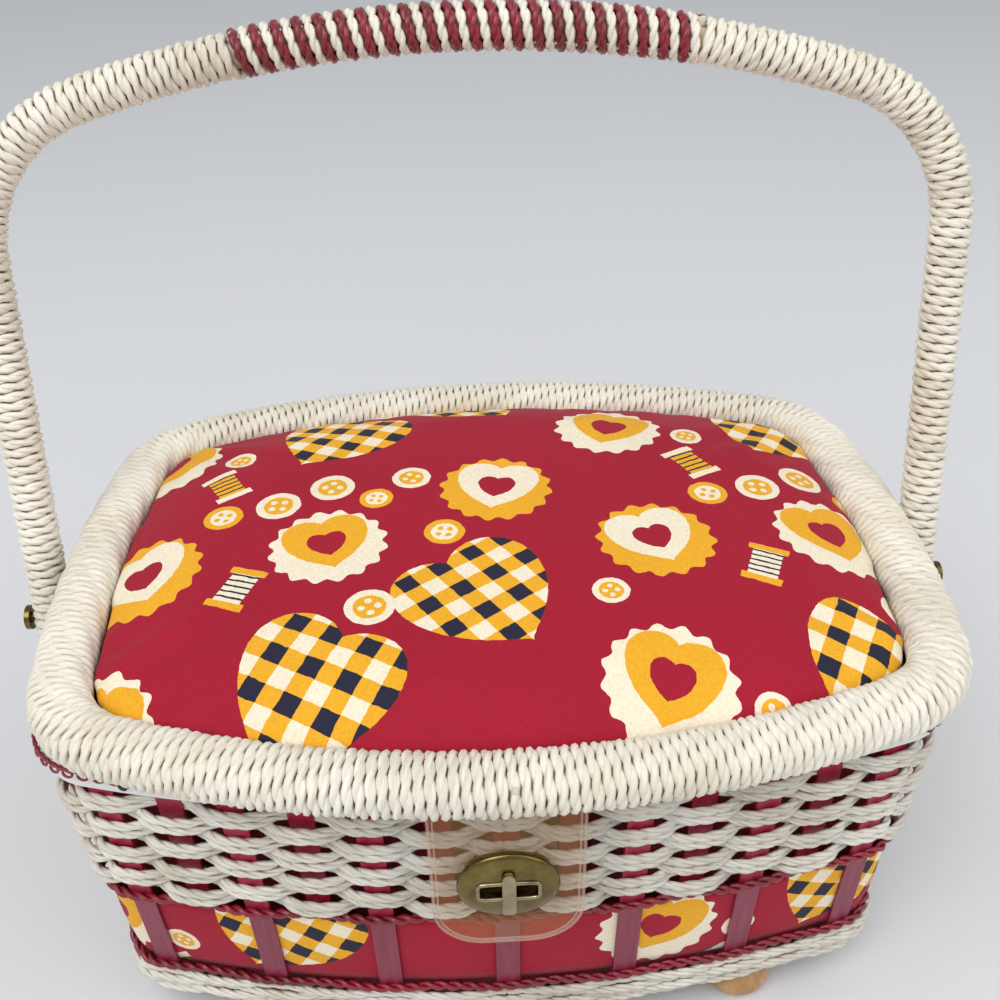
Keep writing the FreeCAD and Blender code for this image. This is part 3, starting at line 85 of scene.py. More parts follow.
def ovalArcs(plan):
    # arc centres, radii and angles, anticlockwise from the front middle
    a, b, corner = plan["halfWidth"], plan["halfDepth"], plan["corner"]
    front, side = plan["frontBow"], plan["sideBow"]
    frontMiddle = np.array([0.0, b - front])
    between = np.array([a - side, 0.0]) - frontMiddle
    length = np.hypot(*between)
    along = (length**2 + (front - corner)**2 - (side - corner)**2)/(2*length)
    across = math.sqrt((front - corner)**2 - along**2)
    unit = between/length
    square = np.array([-unit[1], unit[0]])
    spots = [frontMiddle + unit*along + square*across*hand for hand in (1, -1)]
    cx, cy = max(spots, key=sum)
    sideTurn = math.atan2(cy, cx - (a - side))
    frontTurn = math.atan2(cy - (b - front), cx)
    half = math.pi
    return np.array([
        (0, front - b, front, 1.5*half, 2*half - frontTurn),
        (cx, -cy, corner, 2*half - frontTurn, 2*half - sideTurn),
        (a - side, 0, side, 2*half - sideTurn, 2*half + sideTurn),
        (cx, cy, corner, 2*half + sideTurn, 2*half + frontTurn),
        (0, b - front, front, 2*half + frontTurn, 3*half - frontTurn),
        (-cx, cy, corner, 3*half - frontTurn, 3*half - sideTurn),
        (side - a, 0, side, 3*half - sideTurn, 3*half + sideTurn),
        (-cx, -cy, corner, 3*half + sideTurn, 3*half + frontTurn),
        (0, front - b, front, 3*half + frontTurn, 3.5*half),
    ])


def onOval(plan, share, inset=0.0):
    # points and outward directions at shares of the way round, set in from the plan
    arcs = ovalArcs(plan)
    lengths = arcs[:, 2]*(arcs[:, 4] - arcs[:, 3])
    ends = np.cumsum(lengths)
    travel = (np.asarray(share, float) % 1.0)*ends[-1]
    k = np.minimum(np.searchsorted(ends, travel, side="right"), len(arcs) - 1)
    angle = arcs[k, 3] + (travel - (ends[k] - lengths[k]))/arcs[k, 2]
    out = np.stack([np.cos(angle), np.sin(angle)], -1)
    reach = arcs[k, 2] - inset
    return arcs[k, :2] + np.array(plan["middle"]) + out*reach[..., None], out


def aroundLength(plan, inset=0.0):
    steps = 720
    spots, _ = onOval(plan, np.arange(steps)/steps, inset)
    return float(np.linalg.norm(np.roll(spots, -1, 0) - spots, axis=1).sum())


def onWall(share, z, inset):
    depth = (wallShape["rimTop"] - z)*wallShape["taper"] + inset
    spots, out = onOval(wallPlan, share, depth)
    z = np.broadcast_to(z, spots.shape[:-1])
    return np.concatenate([spots, z[..., None]], -1), np.concatenate([out, 0*out[..., :1]], -1)


def drift(share, size, waves=(3, 5, 8, 13)):
    # a slow hand-made wander that closes on itself
    total = 0*share
    for count in waves:
        total = total + np.sin(fullTurn*(count*share + dice.random()))
    return size*total/len(waves)


def put(tree, kind, inputs=None, **settings):
    node = tree.nodes.new(kind)
    for key, value in settings.items():
        setattr(node, key, value)
    for key, value in (inputs or {}).items():
        if isinstance(value, bpy.types.NodeSocket):
            tree.links.new(value, node.inputs[key])
        else:
            node.inputs[key].default_value = value
    return node


def made(tree, kind, inputs=None, **settings):
    return put(tree, kind, inputs, **settings).outputs[0]


def calc(tree, operation, *values):
    return made(tree, "ShaderNodeMath", dict(enumerate(values)), operation=operation)


def vecCalc(tree, operation, *values):
    return made(tree, "ShaderNodeVectorMath", dict(enumerate(values)), operation=operation)


def scaled(tree, vector, amount):
    return made(tree, "ShaderNodeVectorMath", {0: vector, 3: amount}, operation="SCALE")


def blendColour(tree, share, first, second):
    node = put(tree, "ShaderNodeMix", {0: share, 6: first, 7: second}, data_type="RGBA")
    return node.outputs[2]


def paint(red, green, blue):
    # a screen colour as the linear colour that sockets take
    linear = [((part/255 + 0.055)/1.055)**2.4 for part in (red, green, blue)]
    return (*linear, 1.0)


def newObject(name, data):
    item = bpy.data.objects.new(name, data)
    scene.collection.objects.link(item)
    return item


def resultMesh(item):
    # a plain mesh of what an object's modifiers or bevel make of it
    bpy.context.view_layer.update()
    return bpy.data.meshes.new_from_object(item.evaluated_get(bpy.context.evaluated_depsgraph_get()))


# finishes

def newFinish(name, colour, rough, **extra):
    finish = bpy.data.materials.new(name)
    finish.use_nodes = True
    shader = finish.node_tree.nodes["Principled BSDF"]
    shader.inputs["Base Color"].default_value = colour
    shader.inputs["Roughness"].default_value = rough
    for key, value in extra.items():
        shader.inputs[key.replace("_", " ")].default_value = value
    return finish, finish.node_tree, shader


def objectSpot(tree):
    return put(tree, "ShaderNodeTexCoord").outputs["Object"]


def stretched(tree, vector, x, y, z):
    return vecCalc(tree, "MULTIPLY", vector, (x, y, z))


def noise(tree, vector, scale, detail=3.0, rough=0.55):
    inputs = {"Vector": vector, "Scale": scale, "Detail": detail, "Roughness": rough}
    return put(tree, "ShaderNodeTexNoise", inputs).outputs["Fac"]


def bumped(tree, shader, height, strength, distance):
    node = put(tree, "ShaderNodeBump", {"Strength": strength, "Distance": distance, "Height": height})
    tree.links.new(node.outputs["Normal"], shader.inputs["Normal"])


def ramped(tree, value, low, high):
    inputs = {"Value": value, "From Min": low, "From Max": high}
    return put(tree, "ShaderNodeMapRange", inputs).outputs["Result"]


strandLook = {
    "lengthwise": 160.0,
    "slant": 330.0,
    "around": 11.0,
    "clouds": 38.0,
    "tint": 0.68,
    "bump": 0.0006,
}


def strandFinish(name, light, dark, rough, depth, coat=0.0):
    # twisted strands: fibres follow each strand, tone wanders along it
    finish, tree, shader = newFinish(name, light, rough, Coat_Weight=coat, Coat_Roughness=0.2)
    along, around = (
        put(tree, "ShaderNodeAttribute", attribute_name=kind).outputs["Fac"] for kind in ("along", "around")
    )
    lengthwise = calc(tree, "MULTIPLY", along, strandLook["lengthwise"])
    crosswise = calc(tree, "MULTIPLY", around, strandLook["around"])
    crosswise = calc(tree, "MULTIPLY_ADD", along, strandLook["slant"], crosswise)
    fibreSpot = made(tree, "ShaderNodeCombineXYZ", {"X": lengthwise, "Y": crosswise})
    fibre = noise(tree, fibreSpot, 1.0, 4.0, 0.65)
    wander = noise(tree, objectSpot(tree), strandLook["clouds"], 3.0)
    tone = calc(tree, "MULTIPLY_ADD", fibre, 0.5, ramped(tree, wander, 0.35, 0.8))
    tinted = blendColour(tree, calc(tree, "MULTIPLY", tone, strandLook["tint"]), light, dark)
    tree.links.new(tinted, shader.inputs["Base Color"])
    tree.links.new(calc(tree, "MULTIPLY_ADD", fibre, 0.22, rough - 0.1), shader.inputs["Roughness"])
    bumped(tree, shader, fibre, depth, strandLook["bump"])
    return finish


rimTwineFinish = strandFinish("wrapTwine", paint(250, 245, 234), paint(216, 205, 180), 0.46, 0.7)
weaveTwineFinish = strandFinish("weaveTwine", paint(243, 239, 229), paint(190, 180, 158), 0.34, 0.7, 0.2)
redCordFinish = strandFinish("redCord", paint(150, 18, 42), paint(74, 6, 20), 0.3, 0.4, 0.3)

printColours = {
    "ground": paint(160, 13, 42),
    "golden": paint(232, 168, 34),
    "cream": paint(238, 226, 200),
    "navy": paint(32, 32, 54),
}
# one repeat of the print in millimetres; checks is how many go into half a gingham heart
printTile = {"width": 172.0, "height": 138.0, "wobble": 0.9, "wobbleScale": 0.35, "checks": 3.515625}
# kind, place on the tile, turn, size, and the outer and inner colour
printMotifs = [
    ("gingham", 114.6, 58.6, 0.5, 22.5, "cream", "golden"),
    ("gingham", 170.7, 91.5, -0.6, 22.5, "cream", "golden"),
    ("medallion", 3.9, 15.3, 0.2, 20.0, "golden", "cream"),
    ("medallion", 117.9, 124.0, -0.25, 20.0, "cream", "golden"),
    ("medallion", 50.0, 56.7, 0.35, 20.5, "cream", "golden"),
    ("medallion", 56.1, 119.3, -0.3, 20.0, "golden", "cream"),
    ("spool", 89.7, 105.0, 0.4, 9.5, "golden", "cream"),
    ("spool", 77.3, 28.8, -0.5, 9.5, "cream", "golden"),
    ("button", 98.4, 12.0, 0.1, 8.0, "cream", "golden"),
    ("button", 133.1, 91.2, 0.6, 8.0, "cream", "golden"),
    ("button", 117.0, 21.2, 0.9, 8.0, "cream", "golden"),
    ("button", 157.1, 128.0, 0.2, 7.0, "golden", "cream"),
    ("button", 145.6, 24.8, 0.5, 7.0, "cream", "golden"),
    ("button", 79.3, 7.9, 0.3, 7.0, "golden", "cream"),
    ("button", 37.3, 93.4, 0.7, 6.0, "cream", "golden"),
    ("button", 133.2, 12.4, 0.2, 6.0, "golden", "cream"),
    ("button", 79.5, 48.7, 0.4, 6.0, "cream", "golden"),
]


def squared(tree, value):
    return calc(tree, "MULTIPLY", value, value)


def heartMask(tree, x, y, shrink=1.0):
    # inside the curve (x*x + y*y - 1)**3 < x*x*y**3
    if shrink != 1.0:
        x, y = (calc(tree, "MULTIPLY", part, shrink) for part in (x, y))
    xx, yy = squared(tree, x), squared(tree, y)
    a = calc(tree, "SUBTRACT", calc(tree, "ADD", xx, yy), 1.0)
    cube = calc(tree, "MULTIPLY", squared(tree, a), a)
    lobe = calc(tree, "MULTIPLY", calc(tree, "MULTIPLY", xx, yy), y)
    return calc(tree, "LESS_THAN", cube, lobe)


def fromMiddle(tree, x, y):
    return calc(tree, "SQRT", calc(tree, "ADD", squared(tree, x), squared(tree, y)))


def printGingham(tree, colour, x, y, outer, inner):
    cells = []
    for part in (x, y):
        cell = calc(tree, "FLOOR", calc(tree, "MULTIPLY", part, printTile["checks"]))
        cells.append(calc(tree, "FLOORED_MODULO", cell, 2.0))
    pale = blendColour(tree, calc(tree, "MAXIMUM", *cells), outer, inner)
    check = blendColour(tree, calc(tree, "MULTIPLY", *cells), pale, printColours["navy"])
    return blendColour(tree, heartMask(tree, x, y), colour, check)


def printMedallion(tree, colour, x, y, outer, inner):
    scallops, depth, middle = 16.0, 0.05, 0.97
    angle = calc(tree, "ARCTAN2", y, x)
    lobes = calc(tree, "COSINE", calc(tree, "MULTIPLY", angle, scallops))
    edge = calc(tree, "MULTIPLY_ADD", lobes, depth, middle)
    colour = blendColour(tree, calc(tree, "LESS_THAN", fromMiddle(tree, x, y), edge), colour, outer)
    colour = blendColour(tree, heartMask(tree, x, y, 1.55), colour, inner)
    return blendColour(tree, heartMask(tree, x, y, 3.4), colour, printColours["ground"])


def printButton(tree, colour, x, y, outer, inner):
    dish, holeFrom, holeArea = 0.66, 0.24, 0.022
    radius = fromMiddle(tree, x, y)
    colour = blendColour(tree, calc(tree, "LESS_THAN", radius, 1.0), colour, outer)
    colour = blendColour(tree, calc(tree, "LESS_THAN", radius, dish), colour, inner)
    offsets = [calc(tree, "SUBTRACT", calc(tree, "ABSOLUTE", part), holeFrom) for part in (x, y)]
    squares = [squared(tree, part) for part in offsets]
    hole = calc(tree, "LESS_THAN", calc(tree, "ADD", *squares), holeArea)
    return blendColour(tree, hole, colour, outer)


def printSpool(tree, colour, x, y, outer, inner):
    flangeHalf, flangeAt, flangeThick = 0.7, 0.86, 0.16
    threadHalf, threadReach, winding = 0.52, 0.72, 22.0
    wide, tall = (calc(tree, "ABSOLUTE", part) for part in (x, y))
    flange = calc(tree, "COMPARE", tall, flangeAt, flangeThick)
    flange = calc(tree, "MULTIPLY", calc(tree, "LESS_THAN", wide, flangeHalf), flange)
    thread = calc(tree, "LESS_THAN", tall, threadReach)
    thread = calc(tree, "MULTIPLY", calc(tree, "LESS_THAN", wide, threadHalf), thread)
    colour = blendColour(tree, flange, colour, outer)
    turns = calc(tree, "GREATER_THAN", calc(tree, "SINE", calc(tree, "MULTIPLY", y, winding)), 0.55)
    wound = blendColour(tree, turns, inner, printColours["navy"])
    return blendColour(tree, thread, colour, wound)


printDraw = {
    "gingham": printGingham,
    "medallion": printMedallion,
    "button": printButton,
    "spool": printSpool,
}
cotton = {
    "rough": 0.78,
    "sheen": {"Sheen_Weight": 0.06, "Sheen_Roughness": 0.4, "Specular_IOR_Level": 0.3},
    "threads": (0.5, 1.9),
    "threadTone": 0.55,
    "fade": 0.028,
    "fadeTone": (0.2, 0.35),
    "bump": (0.22, 0.0006),
}


def printFinish(name, output):
    # cotton with a repeat of plain sewing motifs, inked a little unevenly
    finish, tree, shader = newFinish(name, printColours["ground"], cotton["rough"], **cotton["sheen"])
    spot = scaled(tree, put(tree, "ShaderNodeTexCoord").outputs[output], 1/mm)
    inputs = {"Vector": spot, "Scale": printTile["wobbleScale"], "Detail": 2.0}
    shift = put(tree, "ShaderNodeTexNoise", inputs).outputs["Color"]
    shift = scaled(tree, vecCalc(tree, "SUBTRACT", shift, (0.5, 0.5, 0.5)), printTile["wobble"])
    inked = vecCalc(tree, "ADD", spot, shift)
    half = (printTile["width"]/2, printTile["height"]/2, 1.0)
    colour = printColours["ground"]
    for kind, x, y, turn, size, *names in printMotifs:
        moved = vecCalc(tree, "SUBTRACT", inked, (x, y, 0.0))
        wrapped = vecCalc(tree, "WRAP", moved, half, tuple(-part for part in half))
        inputs = {"Vector": wrapped, "Angle": turn}
        turned = made(tree, "ShaderNodeVectorRotate", inputs, rotation_type="Z_AXIS")
        across, up, _ = put(tree, "ShaderNodeSeparateXYZ", {0: scaled(tree, turned, 1/size)}).outputs
        colours = [printColours[name] for name in names]
        colour = printDraw[kind](tree, colour, across, up, *colours)
    fine, coarse = cotton["threads"]
    warp = noise(tree, stretched(tree, spot, fine, coarse, 0.0), 1.0, 4.0, 0.7)
    weft = noise(tree, stretched(tree, spot, coarse, fine, 0.0), 1.0, 4.0, 0.7)
    threads = calc(tree, "ADD", warp, weft)
    faded = calc(tree, "MULTIPLY_ADD", noise(tree, spot, cotton["fade"], 3.0), *cotton["fadeTone"])
    shade = calc(tree, "MULTIPLY_ADD", threads, cotton["threadTone"], faded)
    tree.links.new(scaled(tree, colour, shade), shader.inputs["Base Color"])
    bumped(tree, shader, threads, *cotton["bump"])
    return finish


coverFinish = printFinish("printedCover", "Object")
bandFinish = printFinish("printedBand", "UV")


def clothFinish(name, colour, dark):
    finish, tree, shader = newFinish(name, colour, 0.85, Sheen_Weight=0.15, Sheen_Roughness=0.4)
    spot = objectSpot(tree)
    grain = noise(tree, stretched(tree, spot, 900.0, 900.0, 2400.0), 1.0, 2.0)
    wander = noise(tree, spot, 25.0)
    tone = calc(tree, "MULTIPLY_ADD", grain, 0.5, calc(tree, "MULTIPLY", wander, 0.4))
    tree.links.new(blendColour(tree, tone, colour, dark), shader.inputs["Base Color"])
    bumped(tree, shader, grain, 0.3, 0.0005)
    return finish


liningFinish = clothFinish("redLining", paint(168, 30, 54), paint(120, 14, 34))


def grainFinish(name, light, dark, rough, stretch, depth, coat=0.0):
    # wood, cane, board and splint: streaks along one axis
    finish, tree, shader = newFinish(name, light, rough, Coat_Weight=coat, Coat_Roughness=0.15)
    spot = objectSpot(tree)
    streak = noise(tree, stretched(tree, spot, *stretch), 1.0, 5.0, 0.6)
    cloud = noise(tree, spot, 30.0)
    tone = calc(tree, "MULTIPLY_ADD", cloud, 0.35, ramped(tree, streak, 0.3, 0.75))
    tinted = blendColour(tree, calc(tree, "MULTIPLY", tone, 0.8), light, dark)
    tree.links.new(tinted, shader.inputs["Base Color"])
    tree.links.new(calc(tree, "MULTIPLY_ADD", streak, 0.2, rough - 0.1), shader.inputs["Roughness"])
    bumped(tree, shader, streak, depth, 0.0004)
    return finish


splintGrain = (500, 500, 22)
splintFinish = grainFinish("dyedSplint", paint(142, 36, 68), paint(110, 20, 46), 0.42, splintGrain, 0.2, 0.1)
hoopFinish = grainFinish(
    "whiteHoop", paint(232, 232, 228), paint(212, 210, 204), 0.35, (60, 60, 300), 0.05, 0.2,
)
woodFinish = grainFinish(
    "turnedWood", paint(205, 160, 104), paint(150, 104, 58), 0.4, (260, 260, 30), 0.2, 0.4,
)
caneFinish = grainFinish("bentCane", paint(222, 208, 180), paint(186, 166, 132), 0.5, (90, 90, 90), 0.2)
boardFinish = grainFinish(
    "pressedBoard", paint(168, 138, 100), paint(126, 98, 66), 0.8, (240, 240, 240), 0.3,
)


def reddenAbove(finish, height, light, dark):
    # the same splints are a deeper red above a height
    tree = finish.node_tree
    shader = tree.nodes["Principled BSDF"]
    below = shader.inputs["Base Color"].links[0].from_socket
    spot = objectSpot(tree)
    z = put(tree, "ShaderNodeSeparateXYZ", {0: spot}).outputs[2]
    upper = ramped(tree, z, height, height + 2*mm)
    deep = blendColour(tree, noise(tree, stretched(tree, spot, *splintGrain), 1.0, 5.0), light, dark)
    tree.links.new(blendColour(tree, upper, below, deep), shader.inputs["Base Color"])


reddenAbove(splintFinish, 75.5*mm, paint(168, 16, 58), paint(128, 6, 38))


def metalFinish(name, bright, dull, rough, worn):
    # patina gathers in clouds, fine scuffs change the gloss
    finish, tree, shader = newFinish(name, bright, rough, Metallic=1.0)
    spot = objectSpot(tree)
    cloud = noise(tree, spot, 160.0, 5.0, 0.65)
    scuff = noise(tree, stretched(tree, spot, 900.0, 900.0, 220.0), 1.0, 3.0)
    tone = ramped(tree, cloud, 0.5 - worn, 0.5 + worn)
    tree.links.new(blendColour(tree, tone, bright, dull), shader.inputs["Base Color"])
    tree.links.new(calc(tree, "MULTIPLY_ADD", scuff, 0.25, rough - 0.1), shader.inputs["Roughness"])
    bumped(tree, shader, scuff, 0.08, 0.0003)
    return finish


brassFinish = metalFinish("antiqueBrass", paint(136, 120, 72), paint(86, 74, 40), 0.22, 0.25)
brightFinish = metalFinish("brightBrass", paint(188, 178, 148), paint(116, 104, 74), 0.18, 0.35)
nailFinish = metalFinish("darkNails", paint(74, 72, 70), paint(40, 38, 36), 0.35, 0.3)
steelFinish = metalFinish("plainSteel", paint(150, 150, 152), paint(104, 104, 106), 0.35, 0.3)


def vinylFinish(name, colour, cover):
    # thin clear sheet: mostly see-through, with a faint warm tint and a soft gloss
    finish, tree, shader = newFinish(name, colour, 0.12, Alpha=cover, IOR=1.5)
    ripple = noise(tree, objectSpot(tree), 60.0, 2.0)
    bumped(tree, shader, ripple, 0.15, 0.001)
    return finish


clearFinish = vinylFinish("clearVinyl", paint(186, 138, 74), 0.15)
edgeFinish = vinylFinish("vinylEdge", paint(222, 196, 178), 0.24)

cadFinishes = [
    (splintFinish, ["stakes_outer", "stakes_inner"]),
    (hoopFinish, ["rim_hoop_outer"]),
    (boardFinish, ["base_board", "lid_board", "rim_hoop_inner"]),
    (caneFinish, ["lid_frame", "handle_core"]),
    (woodFinish, ["foot_front_left", "foot_front_right", "foot_rear_left", "foot_rear_right"]),
    (clearFinish, ["hasp_tab"]),
    (nailFinish, ["rim_nails"]),
    (steelFinish, [
        "hinge_body_screws", "hinge_lid_screws", "foot_screws", "hinge_pin_left",
        "hinge_pin_right", "bracket_backing_left", "bracket_backing_right", "lock_backing",
    ]),
]
finishOf = {name: finish for finish, names in cadFinishes for name in names}
for name, node in frame["nodes"].items():
    node.data.materials.clear()
    node.data.materials.append(finishOf.get(name, brassFinish))
print("basket: finishes made")


# laid twine: strands twisted round a path, with one node tree for each number of plies

def newTree(name, sockets):
    tree = bpy.data.node_groups.new(name, "GeometryNodeTree")
    tree.interface.new_socket("Geometry", in_out="INPUT", socket_type="NodeSocketGeometry")
    for label, kind in sockets:
        tree.interface.new_socket(label, in_out="INPUT", socket_type=kind)
    tree.interface.new_socket("Geometry", in_out="OUTPUT", socket_type="NodeSocketGeometry")
    return tree, put(tree, "NodeGroupInput").outputs, put(tree, "NodeGroupOutput").inputs


def finishTree(tree, geometry, given, result):
    smooth = made(tree, "GeometryNodeSetShadeSmooth", {"Geometry": geometry})
    real = made(tree, "GeometryNodeRealizeInstances", {"Geometry": smooth})
    last = made(tree, "GeometryNodeSetMaterial", {"Geometry": real, "Material": given["Material"]})
    tree.links.new(last, result["Geometry"])


def stored(tree, geometry, name, value):
    inputs = {"Geometry": geometry, "Name": name, "Value": value}
    return made(tree, "GeometryNodeStoreNamedAttribute", inputs, data_type="FLOAT", domain="POINT")


def twineTree(name, plies):
    floats = ("Lay", "Strand Radius", "Spread Out", "Spread Across")
    sockets = [(label, "NodeSocketFloat") for label in floats]
    sockets += [("Sides", "NodeSocketInt"), ("Material", "NodeSocketMaterial")]
    tree, given, result = newTree(name, sockets)
    path = made(tree, "GeometryNodeMeshToCurve", {"Mesh": given["Geometry"]})
    length = put(tree, "GeometryNodeSplineParameter").outputs["Length"]
    side = made(tree, "GeometryNodeInputNamedAttribute", {"Name": "side"}, data_type="FLOAT_VECTOR")
    across = vecCalc(tree, "CROSS_PRODUCT", made(tree, "GeometryNodeInputTangent"), side)
    turns = calc(tree, "DIVIDE", length, given["Lay"])
    ring = {"Resolution": given["Sides"], "Radius": given["Strand Radius"]}
    profile = made(tree, "GeometryNodeCurvePrimitiveCircle", ring)
    factor = put(tree, "GeometryNodeSplineParameter").outputs["Factor"]
    profile = stored(tree, profile, "around", factor)
    join = put(tree, "GeometryNodeJoinGeometry")
    for ply in range(plies):
        angle = calc(tree, "MULTIPLY", calc(tree, "ADD", turns, ply/plies), fullTurn)
        outward = calc(tree, "MULTIPLY", calc(tree, "COSINE", angle), given["Spread Out"])
        sideways = calc(tree, "MULTIPLY", calc(tree, "SINE", angle), given["Spread Across"])
        offset = vecCalc(tree, "ADD", scaled(tree, side, outward), scaled(tree, across, sideways))
        strand = made(tree, "GeometryNodeSetPosition", {"Geometry": path, "Offset": offset})
        strand = stored(tree, strand, "along", length)
        inputs = {"Curve": strand, "Profile Curve": profile, "Fill Caps": True}
        tree.links.new(made(tree, "GeometryNodeCurveToMesh", inputs), join.inputs[0])
    finishTree(tree, join.outputs[0], given, result)
    return tree


layTwine = {plies: twineTree("layTwine%d" % plies, plies) for plies in (2, 3)}


def routeHolder(name, runs):
    # runs of points in millimetres, each with its outward directions and whether it closes
    spots, sides, edges = [], [], []
    for points, out, closed in runs:
        first = len(spots)
        count = len(points)
        spots += [tuple(point*mm) for point in points]
        sides += [tuple(way) for way in out]
        edges += [(first + i, first + i + 1) for i in range(count - 1)]
        if closed:
            edges.append((first + count - 1, first))
    mesh = bpy.data.meshes.new(name + "Route")
    mesh.from_pydata(spots, edges, [])
    attribute = mesh.attributes.new("side", "FLOAT_VECTOR", "POINT")
    attribute.data.foreach_set("vector", np.array(sides, np.float32).ravel())
    return newObject(name + "Route", mesh)


def bake(holder, tree, inputs):
    modifier = holder.modifiers.new("nodes", "NODES")
    modifier.node_group = tree
    for item in tree.interface.items_tree:
        if item.in_out == "INPUT" and item.name in inputs:
            modifier[item.identifier] = inputs[item.name]
    mesh = resultMesh(holder)
    holder.modifiers.remove(modifier)
    bpy.data.objects.remove(holder)
    return mesh


def addPiece(name, mesh, finish, body, nodes=()):
    mesh.name = name
    piece = newObject(name, mesh)
    mesh.materials.clear()
    mesh.materials.append(finish)
    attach(piece, body)
    if nodes:
        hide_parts(*nodes)
    return piece


def closedMesh(name, parts, crease=50):
    # joins grids of points whose columns close and whose ends loop round or are capped
    spots, faces = [], []
    for grid, ends in parts:
        first = len(spots)
        rows, columns = grid.shape[:2]
        spots += (grid.reshape(-1, 3)*mm).tolist()
        for r in range(rows if ends == "loop" else rows - 1):
            near = first + r*columns
            far = first + (r + 1) % rows*columns
            for c in range(columns):
                d = (c + 1) % columns
                faces.append((near + c, near + d, far + d, far + c))
        if ends == "capped":
            faces.append(tuple(range(first, first + columns)))
            faces.append(tuple(range(len(spots) - columns, len(spots))))
    mesh = bpy.data.meshes.new(name)
    mesh.from_pydata(spots, [], faces)
    work = bmesh.new()
    work.from_mesh(mesh)
    bmesh.ops.recalc_face_normals(work, faces=work.faces)
    work.to_mesh(mesh)
    work.free()
    mesh.shade_smooth()
    mesh.set_sharp_from_angle(angle=math.radians(crease))
    return mesh


def twinePiece(name, runs, sizes, finish, body, nodes=()):
    lay = sizes["lay"]
    points, _, closed = runs[0]
    if closed:
        length = np.linalg.norm(np.roll(points, -1, 0) - points, axis=1).sum()
        lay = length/round(length/lay)
    inputs = {
        "Lay": lay*mm,
        "Strand Radius": sizes["strand"]*mm,
        "Spread Out": sizes["out"]*mm,
        "Spread Across": sizes["across"]*mm,
        "Sides": sizes["sides"],
        "Material": finish,
    }
    mesh = bake(routeHolder(name, runs), layTwine[sizes.get("plies", 2)], inputs)
    return addPiece(name, mesh, finish, body, nodes)


# woven wall

weave = {
    "rows": 8,
    "firstZ": 80.3,
    "pitch": 6.3,
    "inset": 4.05,
    "swing": 2.55,
    "bend": 1.5,
    "pairGap": 1.54,
    "frontSpread": 0.3,
    "wander": ((0.28, 5, 1), (0.18, 17, 3)),  # size, waves round the wall, phase
    "sway": (0.2, 9, 2),
    "step": 1.55,
    "twine": {"plies": 3, "lay": 17.0, "strand": 0.86, "out": 0.66, "across": 0.86, "sides": 5},
}
lowerWeave = {
    "firstZ": 14.2,
    "pitch": 3.65,
    "inset": 2.0,
    "swing": 0.7,
    "tucks": (3.2, 0.9, 0.0, 0.0, 0.0),  # one for each row, from the lowest
    "wander": (0.25, 7),
    "step": 1.55,
    "twine": {"plies": 3, "lay": 17.0, "strand": 0.86, "out": 0.66, "across": 0.9, "sides": 5},
}
redCord = {
    "heights": {"lower_red_cord": 33.0, "upper_red_cord": 75.0},
    "inset": 2.5,
    "swing": 0.5,
    "wave": 0.45,
    "step": 1.4,
    "twine": {"lay": 10.0, "strand": 0.92, "out": 0.85, "across": 0.92, "sides": 7},
}
stakeCount = wallShape["stakes"]


def wave(share, size, waves, phase):
    return size*np.sin(fullTurn*(waves*share + phase))


def swingAt(share, row):
    # 1 behind a stake and -1 in front of the next
    swing = np.cos(math.pi*(share*stakeCount + row))
    return np.tanh(weave["bend"]*swing)/math.tanh(weave["bend"])


def wallRun(z, inset, step):
    count = int(aroundLength(wallPlan)/step)
    share = np.arange(count)/count
    points, out = onWall(share, z(share), inset(share))
    return points, out, True


def weaveRow(row):
    runs = []
    for hand in (-1, 1):
        seed = dice.random()

        def height(share, hand=hand, seed=seed):
            front = (1 - swingAt(share, row))/2
            gap = weave["pairGap"] + weave["frontSpread"]*front
            slow = sum(wave(share, size, waves, times*seed) for size, waves, times in weave["wander"])
            return weave["firstZ"] + row*weave["pitch"] + hand*gap + slow

        def depth(share, seed=seed):
            size, waves, times = weave["sway"]
            slow = wave(share, size, waves, times*seed)
            return weave["inset"] + weave["swing"]*swingAt(share, row) + slow

        runs.append(wallRun(height, depth, weave["step"]))
    return runs


halfRows = weave["rows"]//2
for part, first, nodes in (("low", 0, ["upper_weave"]), ("high", halfRows, [])):
    runs = [run for row in range(first, first + halfRows) for run in weaveRow(row)]
    twinePiece("wall_weave_" + part, runs, weave["twine"], weaveTwineFinish, "basket", nodes)

lowerRuns = []
for row, tuck in enumerate(lowerWeave["tucks"]):
    seed = dice.random()

    def height(share, row=row, seed=seed):
        return lowerWeave["firstZ"] + row*lowerWeave["pitch"] + wave(share, *lowerWeave["wander"], seed)

    def depth(share, row=row, tuck=tuck):
        return lowerWeave["inset"] + tuck + lowerWeave["swing"]*swingAt(share, row)

    lowerRuns.append(wallRun(height, depth, lowerWeave["step"]))
twinePiece(
    "wall_weave_foot", lowerRuns, lowerWeave["twine"], weaveTwineFinish, "basket", ["lower_weave"],
)

for node, middle in redCord["heights"].items():
    seed = dice.random()

    def height(share, middle=middle, seed=seed):
        return middle + wave(share, redCord["wave"], stakeCount/2, seed)

    def depth(share):
        return redCord["inset"] + redCord["swing"]*swingAt(share, 1)

    run = wallRun(height, depth, redCord["step"])
    twinePiece(node + "_twist", [run], redCord["twine"], redCordFinish, "basket", [node])
print("basket: wall woven")

# lid rim wrapped in twine

rimWrap = {
    "turns": 271,
    "halfWide": 9.7,
    "halfTall": 8.3,
    "middleZ": 150.0,
    "square": 2.5,
    "sink": 1.6,
    "drift": 0.1,
    "perTurn": 29,
    "twine": {"lay": 13.5, "strand": 1.2, "out": 0.5, "across": 0.62, "sides": 6},
}


